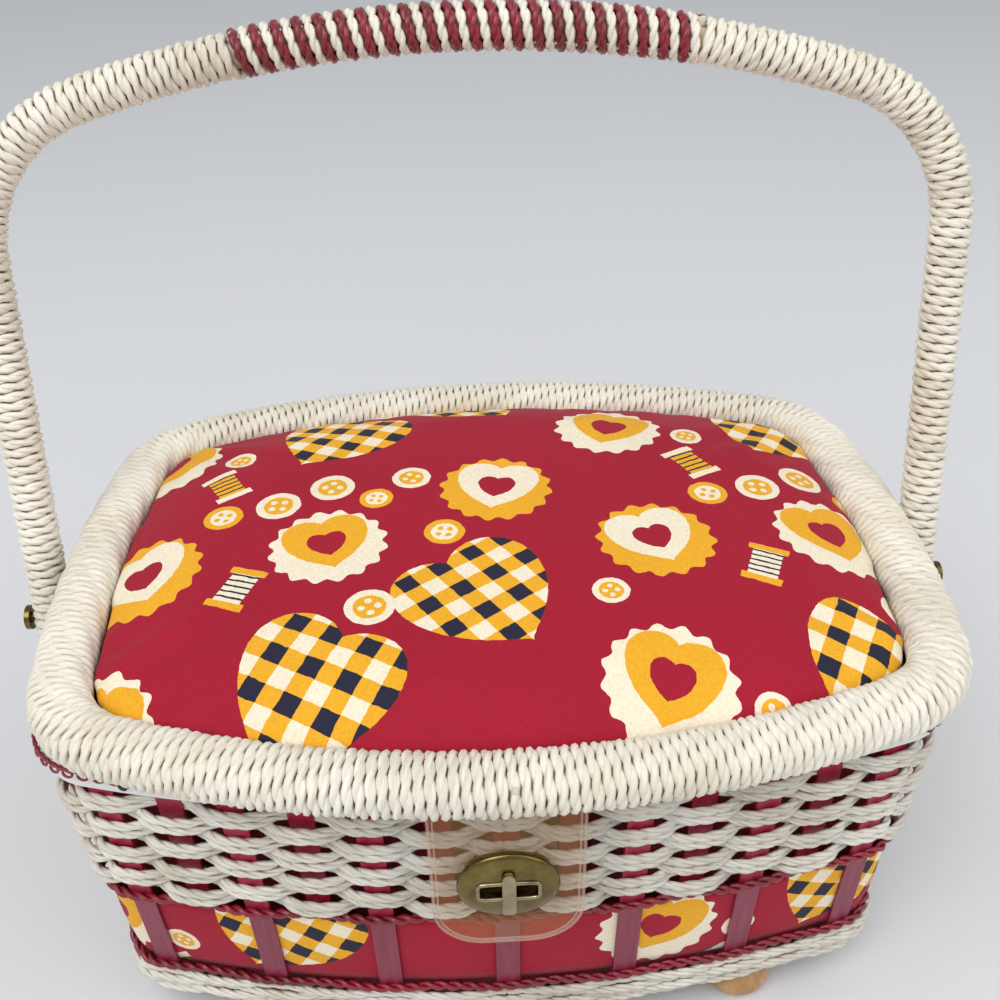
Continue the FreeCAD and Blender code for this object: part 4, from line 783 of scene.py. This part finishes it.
def roundedSection(share, wide, tall, square):
    # even steps round a squarish oval, with the outward direction
    steps = 1440
    fine = np.linspace(0, fullTurn, steps + 1)
    c, s = np.cos(fine), np.sin(fine)
    u = wide*np.sign(c)*np.abs(c)**(2/square)
    v = tall*np.sign(s)*np.abs(s)**(2/square)
    travel = np.concatenate([[0], np.cumsum(np.hypot(np.diff(u), np.diff(v)))])
    target = (share % 1.0)*travel[-1]
    u, v = np.interp(target, travel, u), np.interp(target, travel, v)
    nu = np.sign(u)*np.abs(u/wide)**(square - 1)/wide
    nv = np.sign(v)*np.abs(v/tall)**(square - 1)/tall
    size = np.hypot(nu, nv)
    return u, v, nu/size, nv/size


def rimRun():
    count = rimWrap["turns"]*rimWrap["perTurn"]
    share = np.arange(count)/count
    wide = rimWrap["halfWide"] - rimWrap["sink"]
    tall = rimWrap["halfTall"] - rimWrap["sink"]
    turn = -rimWrap["turns"]*share + drift(share, rimWrap["drift"])
    u, v, nu, nv = roundedSection(turn, wide, tall, rimWrap["square"])
    spots, out = onOval(lidPlan, share)
    points = np.concatenate([spots + out*u[:, None], rimWrap["middleZ"] + v[:, None]], 1)
    return points, np.concatenate([out*nu[:, None], nv[:, None]], 1), True


twinePiece("lid_rim_twine", [rimRun()], rimWrap["twine"], rimTwineFinish, "lid", ["lid_rim_wrap"])
print("basket: rim wrapped")

# bail handle: legs, round corners and a bowed top, wrapped in twine

handle = {
    "span": 159.5,
    "rise": 194.5,
    "corner": 50.0,
    "bow": 430.0,
    "lean": 14.0,
    "pivot": (4.05, 125.0),
    "tail": 9.0,
    "wrapFrom": 1.2,
    "points": {"leg": 200, "bend": 160, "top": 200},
    "plug": {"radius": 5.4, "from": 0.6, "to": 21.5, "sides": 28},
    "wrapRadius": 5.7,
    "pitch": 3.25,
    "gripHalf": 72.0,
    "gripRadius": 6.3,
    "gripTurns": 22,
    "perTurn": 26,
    "twine": {"lay": 13.5, "strand": 1.12, "out": 0.48, "across": 0.64, "sides": 6},
    "gripTwine": {"lay": 10.0, "strand": 0.98, "out": 0.45, "across": 0.72, "sides": 6},
    "gripCord": {"lay": 9.0, "strand": 1.0, "out": 0.5, "across": 0.78, "sides": 7},
}


def handleLine():
    # fine points along the middle of the handle from the left pivot to the right one, in its own plane
    span, corner, bow = handle["span"], handle["corner"], handle["bow"]
    count = handle["points"]
    cornerX = span - corner
    low = handle["rise"] - bow
    reach = math.sqrt((bow - corner)**2 - cornerX**2)
    cornerH = low + reach
    meet = math.atan2(reach, cornerX)
    leg = np.linspace(-handle["tail"], cornerH, count["leg"])
    leg = np.stack([np.full_like(leg, -span), leg], 1)
    bend = np.linspace(math.pi, math.pi - meet, count["bend"])[1:]
    bend = np.stack([-cornerX + corner*np.cos(bend), cornerH + corner*np.sin(bend)], 1)
    top = np.linspace(math.pi - meet, math.pi/2, count["top"])[1:]
    top = np.stack([bow*np.cos(top), low + bow*np.sin(top)], 1)
    left = np.concatenate([leg, bend, top])
    right = left[::-1][1:]*[-1, 1]
    return np.concatenate([left, right])


handlePoints = handleLine()
handleTravel = np.concatenate([[0], np.cumsum(np.linalg.norm(np.diff(handlePoints, axis=0), axis=1))])
handleLength = handleTravel[-1]


def onHandle(travel, angle, radius):
    x = np.interp(travel, handleTravel, handlePoints[:, 0])
    h = np.interp(travel, handleTravel, handlePoints[:, 1])
    slope = np.gradient(handlePoints, handleTravel, axis=0)
    tx = np.interp(travel, handleTravel, slope[:, 0])
    th = np.interp(travel, handleTravel, slope[:, 1])
    lean = math.radians(handle["lean"])
    upward = np.array([0.0, math.sin(lean), math.cos(lean)])
    widthways = np.array([1.0, 0.0, 0.0])
    forward = np.array([0.0, -math.cos(lean), math.sin(lean)])
    outer = -th[:, None]*widthways + tx[:, None]*upward
    way = np.cos(angle)[:, None]*outer + np.sin(angle)[:, None]*forward
    base = np.array([0.0, *handle["pivot"]])
    return base + x[:, None]*widthways + h[:, None]*upward + radius*way, way


def coil(start, end, turns, radius, phase=0.0):
    count = int(abs(turns)*handle["perTurn"])
    share = np.linspace(0, 1, count)
    points, way = onHandle(start + (end - start)*share, fullTurn*(turns*share + phase), radius)
    return points, way, False


gripStart = handleLength/2 - handle["gripHalf"]
gripEnd = handleLength/2 + handle["gripHalf"]
for label, start, end in (
    ("left", handle["wrapFrom"], gripStart),
    ("right", handleLength - handle["wrapFrom"], gripEnd),
):
    turns = abs(end - start)/handle["pitch"]
    run = coil(start, end, turns, handle["wrapRadius"])
    nodes = ["handle_wrap_" + label]
    twinePiece("handle_twine_" + label, [run], handle["twine"], rimTwineFinish, "handle", nodes)
gripRuns = {
    "white": (0.5, "gripTwine", rimTwineFinish, "twine", ["grip_winding_white", "grip_wrap"]),
    "red": (0.0, "gripCord", redCordFinish, "red_cord", ["grip_winding_red"]),
}
for label, (phase, sizes, finish, slot, nodes) in gripRuns.items():
    run = coil(gripStart, gripEnd, handle["gripTurns"], handle["gripRadius"], phase)
    twinePiece("grip_winding_" + label + "_twist", [run], handle[sizes], finish, "handle", nodes)

# the cane's ends inside the wrap, with the rivets through them
plug = handle["plug"]
plugAngles = np.arange(plug["sides"])*fullTurn/plug["sides"]
for label, start, way in (("left", 0.0, 1), ("right", handleLength, -1)):
    rings = []
    for travel in (plug["from"], plug["to"]):
        place = np.full(plug["sides"], start + way*travel)
        rings.append(onHandle(place, plugAngles, plug["radius"])[0])
    plugMesh = closedMesh("handle_plug_" + label, [(np.array(rings), "capped")])
    addPiece("handle_plug_" + label, plugMesh, caneFinish, "handle", ["handle_end_" + label])
print("basket: handle wrapped")


# cloth

def gridMesh(name, spots, stride=None, caps=(), flip=False):
    # rows of points in millimetres whose columns close on themselves; stride, the cloth
    # between two columns, gives it a flat map of its own
    rows, columns = spots.shape[:2]
    faces, corners = [], []
    for r in range(rows - 1):
        for c in range(columns):
            d = (c + 1) % columns
            faces.append((r*columns + c, r*columns + d, (r + 1)*columns + d, (r + 1)*columns + c))
            corners += [(r, c), (r, c + 1), (r + 1, c + 1), (r + 1, c)]
    faces += caps
    if flip:
        faces = [face[::-1] for face in faces]
    mesh = bpy.data.meshes.new(name)
    mesh.from_pydata((spots.reshape(-1, 3)*mm).tolist(), [], faces)
    if stride is not None:
        layer = mesh.uv_layers.new(name="cloth")
        for loop, (r, c) in zip(layer.data, corners):
            loop.uv = (c*stride*mm, spots[r, c % columns, 2]*mm)
    mesh.shade_smooth()
    return mesh


def thickened(piece, thickness):
    modifier = piece.modifiers.new("thickness", "SOLIDIFY")
    modifier.thickness = thickness*mm
    modifier.offset = -1.0


band = {"low": 35.2, "high": 72.8, "inset": 4.0, "puff": 0.9, "columns": 616, "rows": 9, "thick": 0.45}
lining = {
    "low": 17.4,
    "high": 138.9,
    "inset": 10.1,
    "pleat": 1.3,
    "pleats": 74,
    "pleatWander": (1.3, 7),
    "pleatLean": 0.3,
    "pleatRest": 0.25,
    "slack": 0.96,
    "columns": 592,
    "rows": 14,
    "thick": 0.5,
}


def wallSheet(name, sizes, depth, finish, node):
    share = np.arange(sizes["columns"])/sizes["columns"]
    low, high = sizes["low"], sizes["high"]
    heights = np.linspace(low, high, sizes["rows"])
    rows = [onWall(share, z, depth(share, (z - low)/(high - low)))[0] for z in heights]
    stride = aroundLength(wallPlan, sizes["inset"])/sizes["columns"]
    mesh = gridMesh(name, np.array(rows), stride)
    piece = addPiece(name, mesh, finish, "basket", [node])
    thickened(piece, sizes["thick"])


def bandDepth(share, rise):
    # the band puffs out a little between the stakes
    free = np.sin(math.pi*share*stakeCount/2)**2
    return band["inset"] - band["puff"]*free*math.sin(math.pi*rise)


def liningDepth(share, rise):
    # gathers that wander, deepest at half height
    wander = wave(share, *lining["pleatWander"], lining["pleatLean"]*rise)
    fold = 0.5 + 0.5*np.sin(fullTurn*lining["pleats"]*share + wander)
    slack = math.sin(math.pi*(rise*lining["slack"]))
    rest = lining["pleatRest"]
    return lining["inset"] + lining["pleat"]*fold*(rest + (1 - rest)*slack)


wallSheet(
    "printed_band", band, bandDepth, bandFinish, "fabric_band",
)
wallSheet(
    "wall_lining_cloth", lining, liningDepth, liningFinish, "wall_lining",
)
print("basket: band and lining hung")


def shellMesh(name, plan, sizes):
    # a closed form with a flat bottom, a side and a crowned top
    columns = sizes["columns"]
    edge, _ = onOval(plan, np.arange(columns)/columns, sizes["inset"])
    middle = np.array(plan["middle"])
    scales = np.linspace(1, sizes["hub"], sizes["rings"])
    levels = [(k, sizes["low"]) for k in scales[::-1]]
    for k in scales:
        levels.append((k, sizes["edge"] + sizes["crown"]*math.sqrt(max(1 - k**sizes["power"], 0))))
    rows = [np.concatenate([middle + (edge - middle)*k, np.full((columns, 1), z)], 1) for k, z in levels]
    last = columns*(len(rows) - 1)
    caps = [tuple(range(columns))[::-1], tuple(range(last, last + columns))]
    return gridMesh(name, np.array(rows), caps=caps)


cushion = {
    "inset": 9.2,
    "low": 146.6,
    "edge": 152.5,
    "crown": 10.4,
    "power": 2.6,
    "hub": 0.04,
    "rings": 26,
    "columns": 220,
    "voxel": 4.0,
    "pressure": 4.0,
    "quality": 6,
    "frames": 20,
    "cap": 2.2,
    "pinBelow": 150.5,
    "pucker": 0.55,
    "puckerTop": 157.0,
    "puckerFade": 5.0,
    "puckers": ((1.0, 61, 2.0, 5), (0.6, 97, 1.7, 3)),  # size, count, wander, slow waves
    "fair": (0.5, 2),
}


def flatten(piece):
    # turns the modifiers' result into the piece's own mesh
    mesh = resultMesh(piece)
    piece.modifiers.clear()
    piece.data = mesh


def meshSpots(mesh):
    spots = np.zeros(len(mesh.vertices)*3)
    mesh.vertices.foreach_get("co", spots)
    return spots.reshape(-1, 3)


def puffed(name):
    work = newObject(name + "Work", shellMesh(name, lidPlan, cushion))
    remesh = work.modifiers.new("skin", "REMESH")
    remesh.mode = "VOXEL"
    remesh.voxel_size = cushion["voxel"]*mm
    flatten(work)
    before = meshSpots(work.data)
    group = work.vertex_groups.new(name="tucked")
    for index in np.nonzero(before[:, 2] < cushion["pinBelow"]*mm)[0]:
        group.add([int(index)], 1.0, "REPLACE")
    cloth = work.modifiers.new("air", "CLOTH")
    cloth.settings.use_pressure = True
    cloth.settings.uniform_pressure_force = cushion["pressure"]
    cloth.settings.vertex_group_mass = "tucked"
    cloth.settings.effector_weights.gravity = 0.0
    cloth.settings.quality = cushion["quality"]
    cloth.point_cache.frame_start = 1
    cloth.point_cache.frame_end = cushion["frames"]
    for step in range(1, cushion["frames"] + 1):
        scene.frame_set(step)
    flatten(work)
    scene.frame_set(1)
    move = meshSpots(work.data) - before
    size = np.linalg.norm(move, axis=1)
    limit = np.minimum(1, cushion["cap"]*mm/np.maximum(size, 1e-9))
    spots = before + move*limit[:, None]
    # small puckers where the cover is pulled in under the rim
    middle = np.array(lidPlan["middle"])*mm
    angle = np.arctan2(spots[:, 1] - middle[1], spots[:, 0] - middle[0])
    edgeShare = np.clip((cushion["puckerTop"]*mm - spots[:, 2])/(cushion["puckerFade"]*mm), 0, 1)
    ripple = 0
    for high, count, wander, slow in cushion["puckers"]:
        ripple = ripple + high*np.sin(count*angle + wander*np.sin(slow*angle))
    spots[:, 2] += cushion["pucker"]*mm*ripple*edgeShare*(spots[:, 2] > cushion["pinBelow"]*mm)
    work.data.vertices.foreach_set("co", spots.ravel())
    smooth = work.modifiers.new("fair", "SMOOTH")
    smooth.factor, smooth.iterations = cushion["fair"]
    flatten(work)
    result = work.data
    bpy.data.objects.remove(work)
    result.shade_smooth()
    return result


cover = addPiece(
    "lid_cushion", puffed("lid_cushion"), coverFinish, "lid", ["lid_cover", "lid_pad"],
)
subdivision = cover.modifiers.new("fine", "SUBSURF")
subdivision.levels = 1
subdivision.render_levels = 1
print("basket: lid cushion padded")

basePad = {
    "inset": 11.4,
    "low": 17.2,
    "edge": 18.4,
    "crown": 1.8,
    "power": 4,
    "hub": 0.04,
    "rings": 20,
    "columns": 180,
}
basePlan = dict(wallPlan)
for key in ("halfWidth", "halfDepth", "corner"):
    basePlan[key] -= (wallShape["rimTop"] - basePad["low"])*wallShape["taper"]
padMesh = shellMesh("base_pad", basePlan, basePad)
pad = addPiece("base_pad", padMesh, liningFinish, "basket", ["base_lining"])

lidLining = {
    "inset": 10.0,
    "z": 142.55,
    "sag": 0.3,
    "gather": 0.25,
    "gathers": 64,
    "hub": 0.03,
    "rings": 16,
    "columns": 220,
    "thick": 0.5,
}


def lidLiningMesh():
    columns = lidLining["columns"]
    share = np.arange(columns)/columns
    edge, _ = onOval(lidPlan, share, lidLining["inset"])
    middle = np.array(lidPlan["middle"])
    rows = []
    for k in np.linspace(lidLining["hub"], 1, lidLining["rings"]):
        gather = k**6*wave(share, lidLining["gather"], lidLining["gathers"], 0.0)
        z = lidLining["z"] - lidLining["sag"]*(1 - k**4) + gather
        rows.append(np.concatenate([middle + (edge - middle)*k, z[:, None]], 1))
    caps = [tuple(range(columns))[::-1]]
    mesh = gridMesh("lid_lining_cloth", np.array(rows), caps=caps, flip=True)
    after = np.roll(edge, -1, 0)
    area = 0.5*abs(np.sum(edge[:, 0]*after[:, 1] - edge[:, 1]*after[:, 0]))
    return mesh, area*mm*mm, np.ptp(edge, axis=0)*mm


liningMesh, liningArea, liningSpan = lidLiningMesh()
lidCloth = addPiece("lid_lining_cloth", liningMesh, liningFinish, "lid", ["lid_lining"])
thickened(lidCloth, lidLining["thick"])
print("basket: inside lined")

# picot loops and a braid along the trim

picot = {
    "pitch": 5.0,
    "wide": 1.7,
    "long": 1.25,
    "thread": 0.42,
    "droop": 1.3,
    "z": 139.8,
    "edge": 0.35,
    "steps": 900,
    "loopSides": 10,
    "threadSides": 5,
    "braid": {"lay": 6.0, "strand": 0.45, "out": 0.4, "across": 0.3, "sides": 6},
}


def picotTree():
    floats = ("Pitch", "Loop Width", "Loop Length", "Thread", "Droop")
    sockets = [(label, "NodeSocketFloat") for label in floats] + [("Material", "NodeSocketMaterial")]
    tree, given, result = newTree("picotLoops", sockets)
    path = made(tree, "GeometryNodeMeshToCurve", {"Mesh": given["Geometry"]})
    inputs = {"Curve": path, "Length": given["Pitch"]}
    spaced = made(tree, "GeometryNodeResampleCurve", inputs, mode="LENGTH")
    side = made(tree, "GeometryNodeInputNamedAttribute", {"Name": "side"}, data_type="FLOAT_VECTOR")
    facing = made(tree, "FunctionNodeAlignRotationToVector", {"Vector": side}, axis="Y", pivot_axis="Z")
    ring = {"Resolution": picot["loopSides"], "Radius": 1.0}
    ring = made(tree, "GeometryNodeCurvePrimitiveCircle", ring)
    shift = made(tree, "ShaderNodeCombineXYZ", {"Y": given["Loop Length"]})
    size = {"X": given["Loop Width"], "Y": given["Loop Length"], "Z": 1.0}
    size = made(tree, "ShaderNodeCombineXYZ", size)
    inputs = {"Geometry": ring, "Translation": shift, "Scale": size}
    ring = made(tree, "GeometryNodeTransform", inputs)
    turn = made(tree, "ShaderNodeCombineXYZ", {"X": calc(tree, "MULTIPLY", given["Droop"], -1.0)})
    turn = made(tree, "FunctionNodeEulerToRotation", {0: turn})
    ring = made(tree, "GeometryNodeTransform", {"Geometry": ring, "Rotation": turn})
    thread = {"Resolution": picot["threadSides"], "Radius": given["Thread"]}
    thread = made(tree, "GeometryNodeCurvePrimitiveCircle", thread)
    loop = made(tree, "GeometryNodeCurveToMesh", {"Curve": ring, "Profile Curve": thread})
    inputs = {"Points": spaced, "Instance": loop, "Rotation": facing}
    placed = made(tree, "GeometryNodeInstanceOnPoints", inputs)
    finishTree(tree, placed, given, result)
    return tree


trimSpots, trimOut = onOval(wallPlan, np.arange(picot["steps"])/picot["steps"], picot["edge"])
trimPoints = np.concatenate([trimSpots, np.full((picot["steps"], 1), picot["z"])], 1)
trimSides = np.concatenate([trimOut, np.zeros((picot["steps"], 1))], 1)
trimRun = (trimPoints, trimSides, True)
picotMesh = bake(routeHolder("picot", [trimRun]), picotTree(), {
    "Pitch": picot["pitch"]*mm,
    "Loop Width": picot["wide"]*mm,
    "Loop Length": picot["long"]*mm,
    "Thread": picot["thread"]*mm,
    "Droop": picot["droop"],
    "Material": redCordFinish,
})
addPiece("picot_loops", picotMesh, redCordFinish, "basket")
twinePiece("picot_braid", [trimRun], picot["braid"], redCordFinish, "basket", ["picot_trim"])
print("basket: picot loops sewn")

# welded edge of the clear tab

tabWeld = {
    "half": 23.0,
    "top": 141.0,
    "low": 77.5,
    "round": 16.2,
    "front": -108.1,
    "cornerSteps": 14,
    "beadSides": 2,
    "beads": {"tab_edge": (0.35, 0.5), "tab_weld": (1.7, 0.35)},
}


def tabWeldPoints(inset):
    half, low, radius = tabWeld["half"] - inset, tabWeld["low"] + inset, tabWeld["round"] - inset
    corners = []
    for x, start in ((radius - half, math.pi), (half - radius, 1.5*math.pi)):
        for turn in np.linspace(start, start + math.pi/2, tabWeld["cornerSteps"]):
            corners.append((x + radius*math.cos(turn), low + radius + radius*math.sin(turn)))
    line = [(-half, tabWeld["top"]), *corners, (half, tabWeld["top"])]
    return [Vector((x, tabWeld["front"], z))*mm for x, z in line]


def tubeMesh(name, points, radius):
    curve = bpy.data.curves.new(name, "CURVE")
    curve.dimensions = "3D"
    curve.bevel_depth = radius*mm
    curve.bevel_resolution = tabWeld["beadSides"]
    curve.use_fill_caps = True
    spline = curve.splines.new("POLY")
    spline.points.add(len(points) - 1)
    for spot, point in zip(spline.points, points):
        spot.co = (*point, 1.0)
    holder = newObject(name, curve)
    mesh = resultMesh(holder)
    bpy.data.objects.remove(holder)
    mesh.shade_smooth()
    return mesh


for name, (inset, bead) in tabWeld["beads"].items():
    addPiece(name, tubeMesh(name, tabWeldPoints(inset), bead), edgeFinish, "lid")
print("basket: tab welded")

# clasp: a domed plate with a framed slot, and the bowed toggle that turns in it

claspPlate = {
    "middleZ": 106.0,
    "back": -108.1,
    "half": (15.5, 14.0),
    "slotHalf": (9.2, 3.5),
    "slotSquare": 7.0,
    "edge": 0.5,
    "rise": 2.2,
    "rail": 0.7,
    "railSides": 10,
    "columns": 96,
    "rings": 10,
}
toggleBar = {
    "half": 8.3,
    "halfWide": 2.1,
    "front": -114.1,
    "thick": 1.3,
    "lip": 0.55,
    "bow": {"low": 0.6, "high": 1.6},
    "square": 4.0,
    "tip": 0.55,
    "post": 1.8,
    "postBack": -103.1,
    "postSink": 0.6,
    "postSides": 24,
    "columns": 28,
    "rows": 21,
}
lockSeat = {
    "half": (13.0, 6.6),
    "back": -101.6,
    "plate": -102.8,
    "boss": (5.2, 4.8),
    "front": -105.7,
    "columns": 48,
}


def claspRing(x, y, z):
    # one ring of points, its heights taken from the middle of the clasp
    return np.stack([x, 0*x + y, 0*x + z + claspPlate["middleZ"]], 1)


def shares(sizes):
    return np.arange(sizes["columns"])/sizes["columns"]


def domeRows():
    share = shares(claspPlate)
    slotX, slotZ, _, _ = roundedSection(share, *claspPlate["slotHalf"], claspPlate["slotSquare"])
    edgeX, edgeZ, _, _ = roundedSection(share, *claspPlate["half"], 2.0)
    levels = []
    for step in np.linspace(0, math.pi/2, claspPlate["rings"]):
        levels.append((math.sin(step), claspPlate["edge"] + claspPlate["rise"]*math.cos(step)))
    levels += [(1.0, 0.0), (0.0, 0.0)]
    rows = []
    for k, high in levels:
        x = slotX + (edgeX - slotX)*k
        rows.append(claspRing(x, claspPlate["back"] - high, slotZ + (edgeZ - slotZ)*k))
    return np.array(rows)


def railRows():
    share = shares(claspPlate)
    x, z, outX, outZ = roundedSection(share, *claspPlate["slotHalf"], claspPlate["slotSquare"])
    top = claspPlate["back"] - claspPlate["edge"] - claspPlate["rise"]
    rows = []
    for turn in np.arange(claspPlate["railSides"])*fullTurn/claspPlate["railSides"]:
        out = claspPlate["rail"]*math.cos(turn)
        rows.append(claspRing(x + out*outX, top - claspPlate["rail"]*math.sin(turn), z + out*outZ))
    return np.array(rows)


def barRows():
    halfWide, thick = toggleBar["halfWide"], toggleBar["thick"]
    u, v, _, _ = roundedSection(shares(toggleBar), halfWide, thick/2, toggleBar["square"])
    lip = toggleBar["lip"]*(np.abs(u)/halfWide)**4*(v > 0)
    middle = toggleBar["front"] + toggleBar["lip"] + thick/2
    rows = []
    for s in np.sin(np.linspace(-math.pi/2, math.pi/2, toggleBar["rows"])):
        bow = toggleBar["bow"]["high" if s > 0 else "low"]*s*s
        wide = max(math.sqrt(1.0001 - s**8)**0.5, toggleBar["tip"])
        rows.append(claspRing(u*wide, middle + bow - v - lip, toggleBar["half"]*s))
    return np.array(rows)


def postRows():
    turn = np.arange(toggleBar["postSides"])*fullTurn/toggleBar["postSides"]
    x, z = toggleBar["post"]*np.cos(turn), toggleBar["post"]*np.sin(turn)
    postFront = toggleBar["front"] + toggleBar["lip"] + toggleBar["postSink"]
    return np.array([claspRing(x, y, z) for y in (toggleBar["postBack"], postFront)])


def seatRows():
    low, high = lockSeat["boss"]
    levels = [
        (lockSeat["half"], lockSeat["back"]),
        (lockSeat["half"], lockSeat["plate"]),
        ((low, low), lockSeat["plate"]),
        ((high, high), lockSeat["front"]),
    ]
    rows = []
    for half, y in levels:
        x, z, _, _ = roundedSection(shares(lockSeat), *half, 2.0)
        rows.append(claspRing(x, y, z))
    return np.array(rows)


claspParts = [
    ("lock_seat", [(seatRows(), "capped")], brassFinish, "basket", ["lock_base"]),
    ("clasp_plate", [(domeRows(), "loop")], brassFinish, "lid", ["hasp_plate"]),
    ("clasp_slot_rail", [(railRows(), "loop")], brightFinish, "lid", []),
    ("toggle_bar", [(barRows(), "capped"), (postRows(), "capped")], brightFinish, "toggle", ["lock_toggle"]),
]
for name, grids, finish, body, nodes in claspParts:
    addPiece(name, closedMesh(name, grids), finish, body, nodes)
print("basket: clasp fitted")

# floor, light and camera

studio = {
    "floor": paint(220, 221, 223),
    "floorShade": paint(206, 208, 212),
    "floorHalf": 40.0,
    "world": (0.96, 0.98, 1.0, 1.0),
    "worldStrength": 0.56,
    "aim": (0.0, 0.0, 0.12),
    "lamps": {
        "keyLight": {"power": 23.0, "size": 1.4, "place": (-0.7, -0.9, 1.7)},
        "fillLight": {"power": 9.0, "size": 1.6, "place": (1.2, -0.5, 1.2)},
    },
}


def groundPlane():
    size = studio["floorHalf"]
    corners = [(-size, -size, 0), (size, -size, 0), (size, size, 0), (-size, size, 0)]
    mesh = bpy.data.meshes.new("studioFloor")
    mesh.from_pydata(corners, [], [(0, 1, 2, 3)])
    floor = newObject("studioFloor", mesh)
    finish, tree, shader = newFinish("studioFloor", studio["floor"], 0.85)
    grain = noise(tree, objectSpot(tree), 3.0, 2.0)
    tone = blendColour(tree, calc(tree, "MULTIPLY", grain, 0.25), studio["floor"], studio["floorShade"])
    tree.links.new(tone, shader.inputs["Base Color"])
    mesh.materials.append(finish)


def softLight(name, power, size, place):
    lamp = bpy.data.lights.new(name, "AREA")
    lamp.energy = power
    lamp.size = size
    item = newObject(name, lamp)
    item.location = place
    item.rotation_euler = (Vector(studio["aim"]) - Vector(place)).to_track_quat("-Z", "Y").to_euler()


groundPlane()
for name, lamp in studio["lamps"].items():
    softLight(name, **lamp)
world = bpy.data.worlds.new("studio")
scene.world = world
world.use_nodes = True
background = world.node_tree.nodes["Background"]
background.inputs["Color"].default_value = studio["world"]
background.inputs["Strength"].default_value = studio["worldStrength"]
scene.view_settings.view_transform = "Standard"

camera = {
    "place": (-9.18, -313.39, 384.78),
    "yaw": 2.16,
    "pitch": 34.38,
    "roll": -1.42,
    "lens": 39.6,
    "sensor": 36.0,
    "shift": 0.006,
    "near": 10.0,
}


def setCamera():
    yaw, pitch, roll = (math.radians(camera[key]) for key in ("yaw", "pitch", "roll"))
    view = Vector((math.sin(yaw)*math.cos(pitch), math.cos(yaw)*math.cos(pitch), -math.sin(pitch)))
    level = Vector((math.cos(yaw), -math.sin(yaw), 0.0))
    lift = level.cross(view)
    right = level*math.cos(roll) + lift*math.sin(roll)
    up = lift*math.cos(roll) - level*math.sin(roll)
    lens = bpy.data.cameras.new("photoView")
    lens.lens = camera["lens"]
    lens.sensor_width = camera["sensor"]
    lens.shift_x = camera["shift"]
    lens.clip_start = camera["near"]*mm
    eye = newObject("photoView", lens)
    turn = Matrix((right, up, -view)).transposed().to_4x4()
    eye.matrix_world = Matrix.Translation(Vector(camera["place"])*mm) @ turn
    scene.camera = eye


setCamera()
bpy.context.view_layer.update()
print("basket: scene ready")
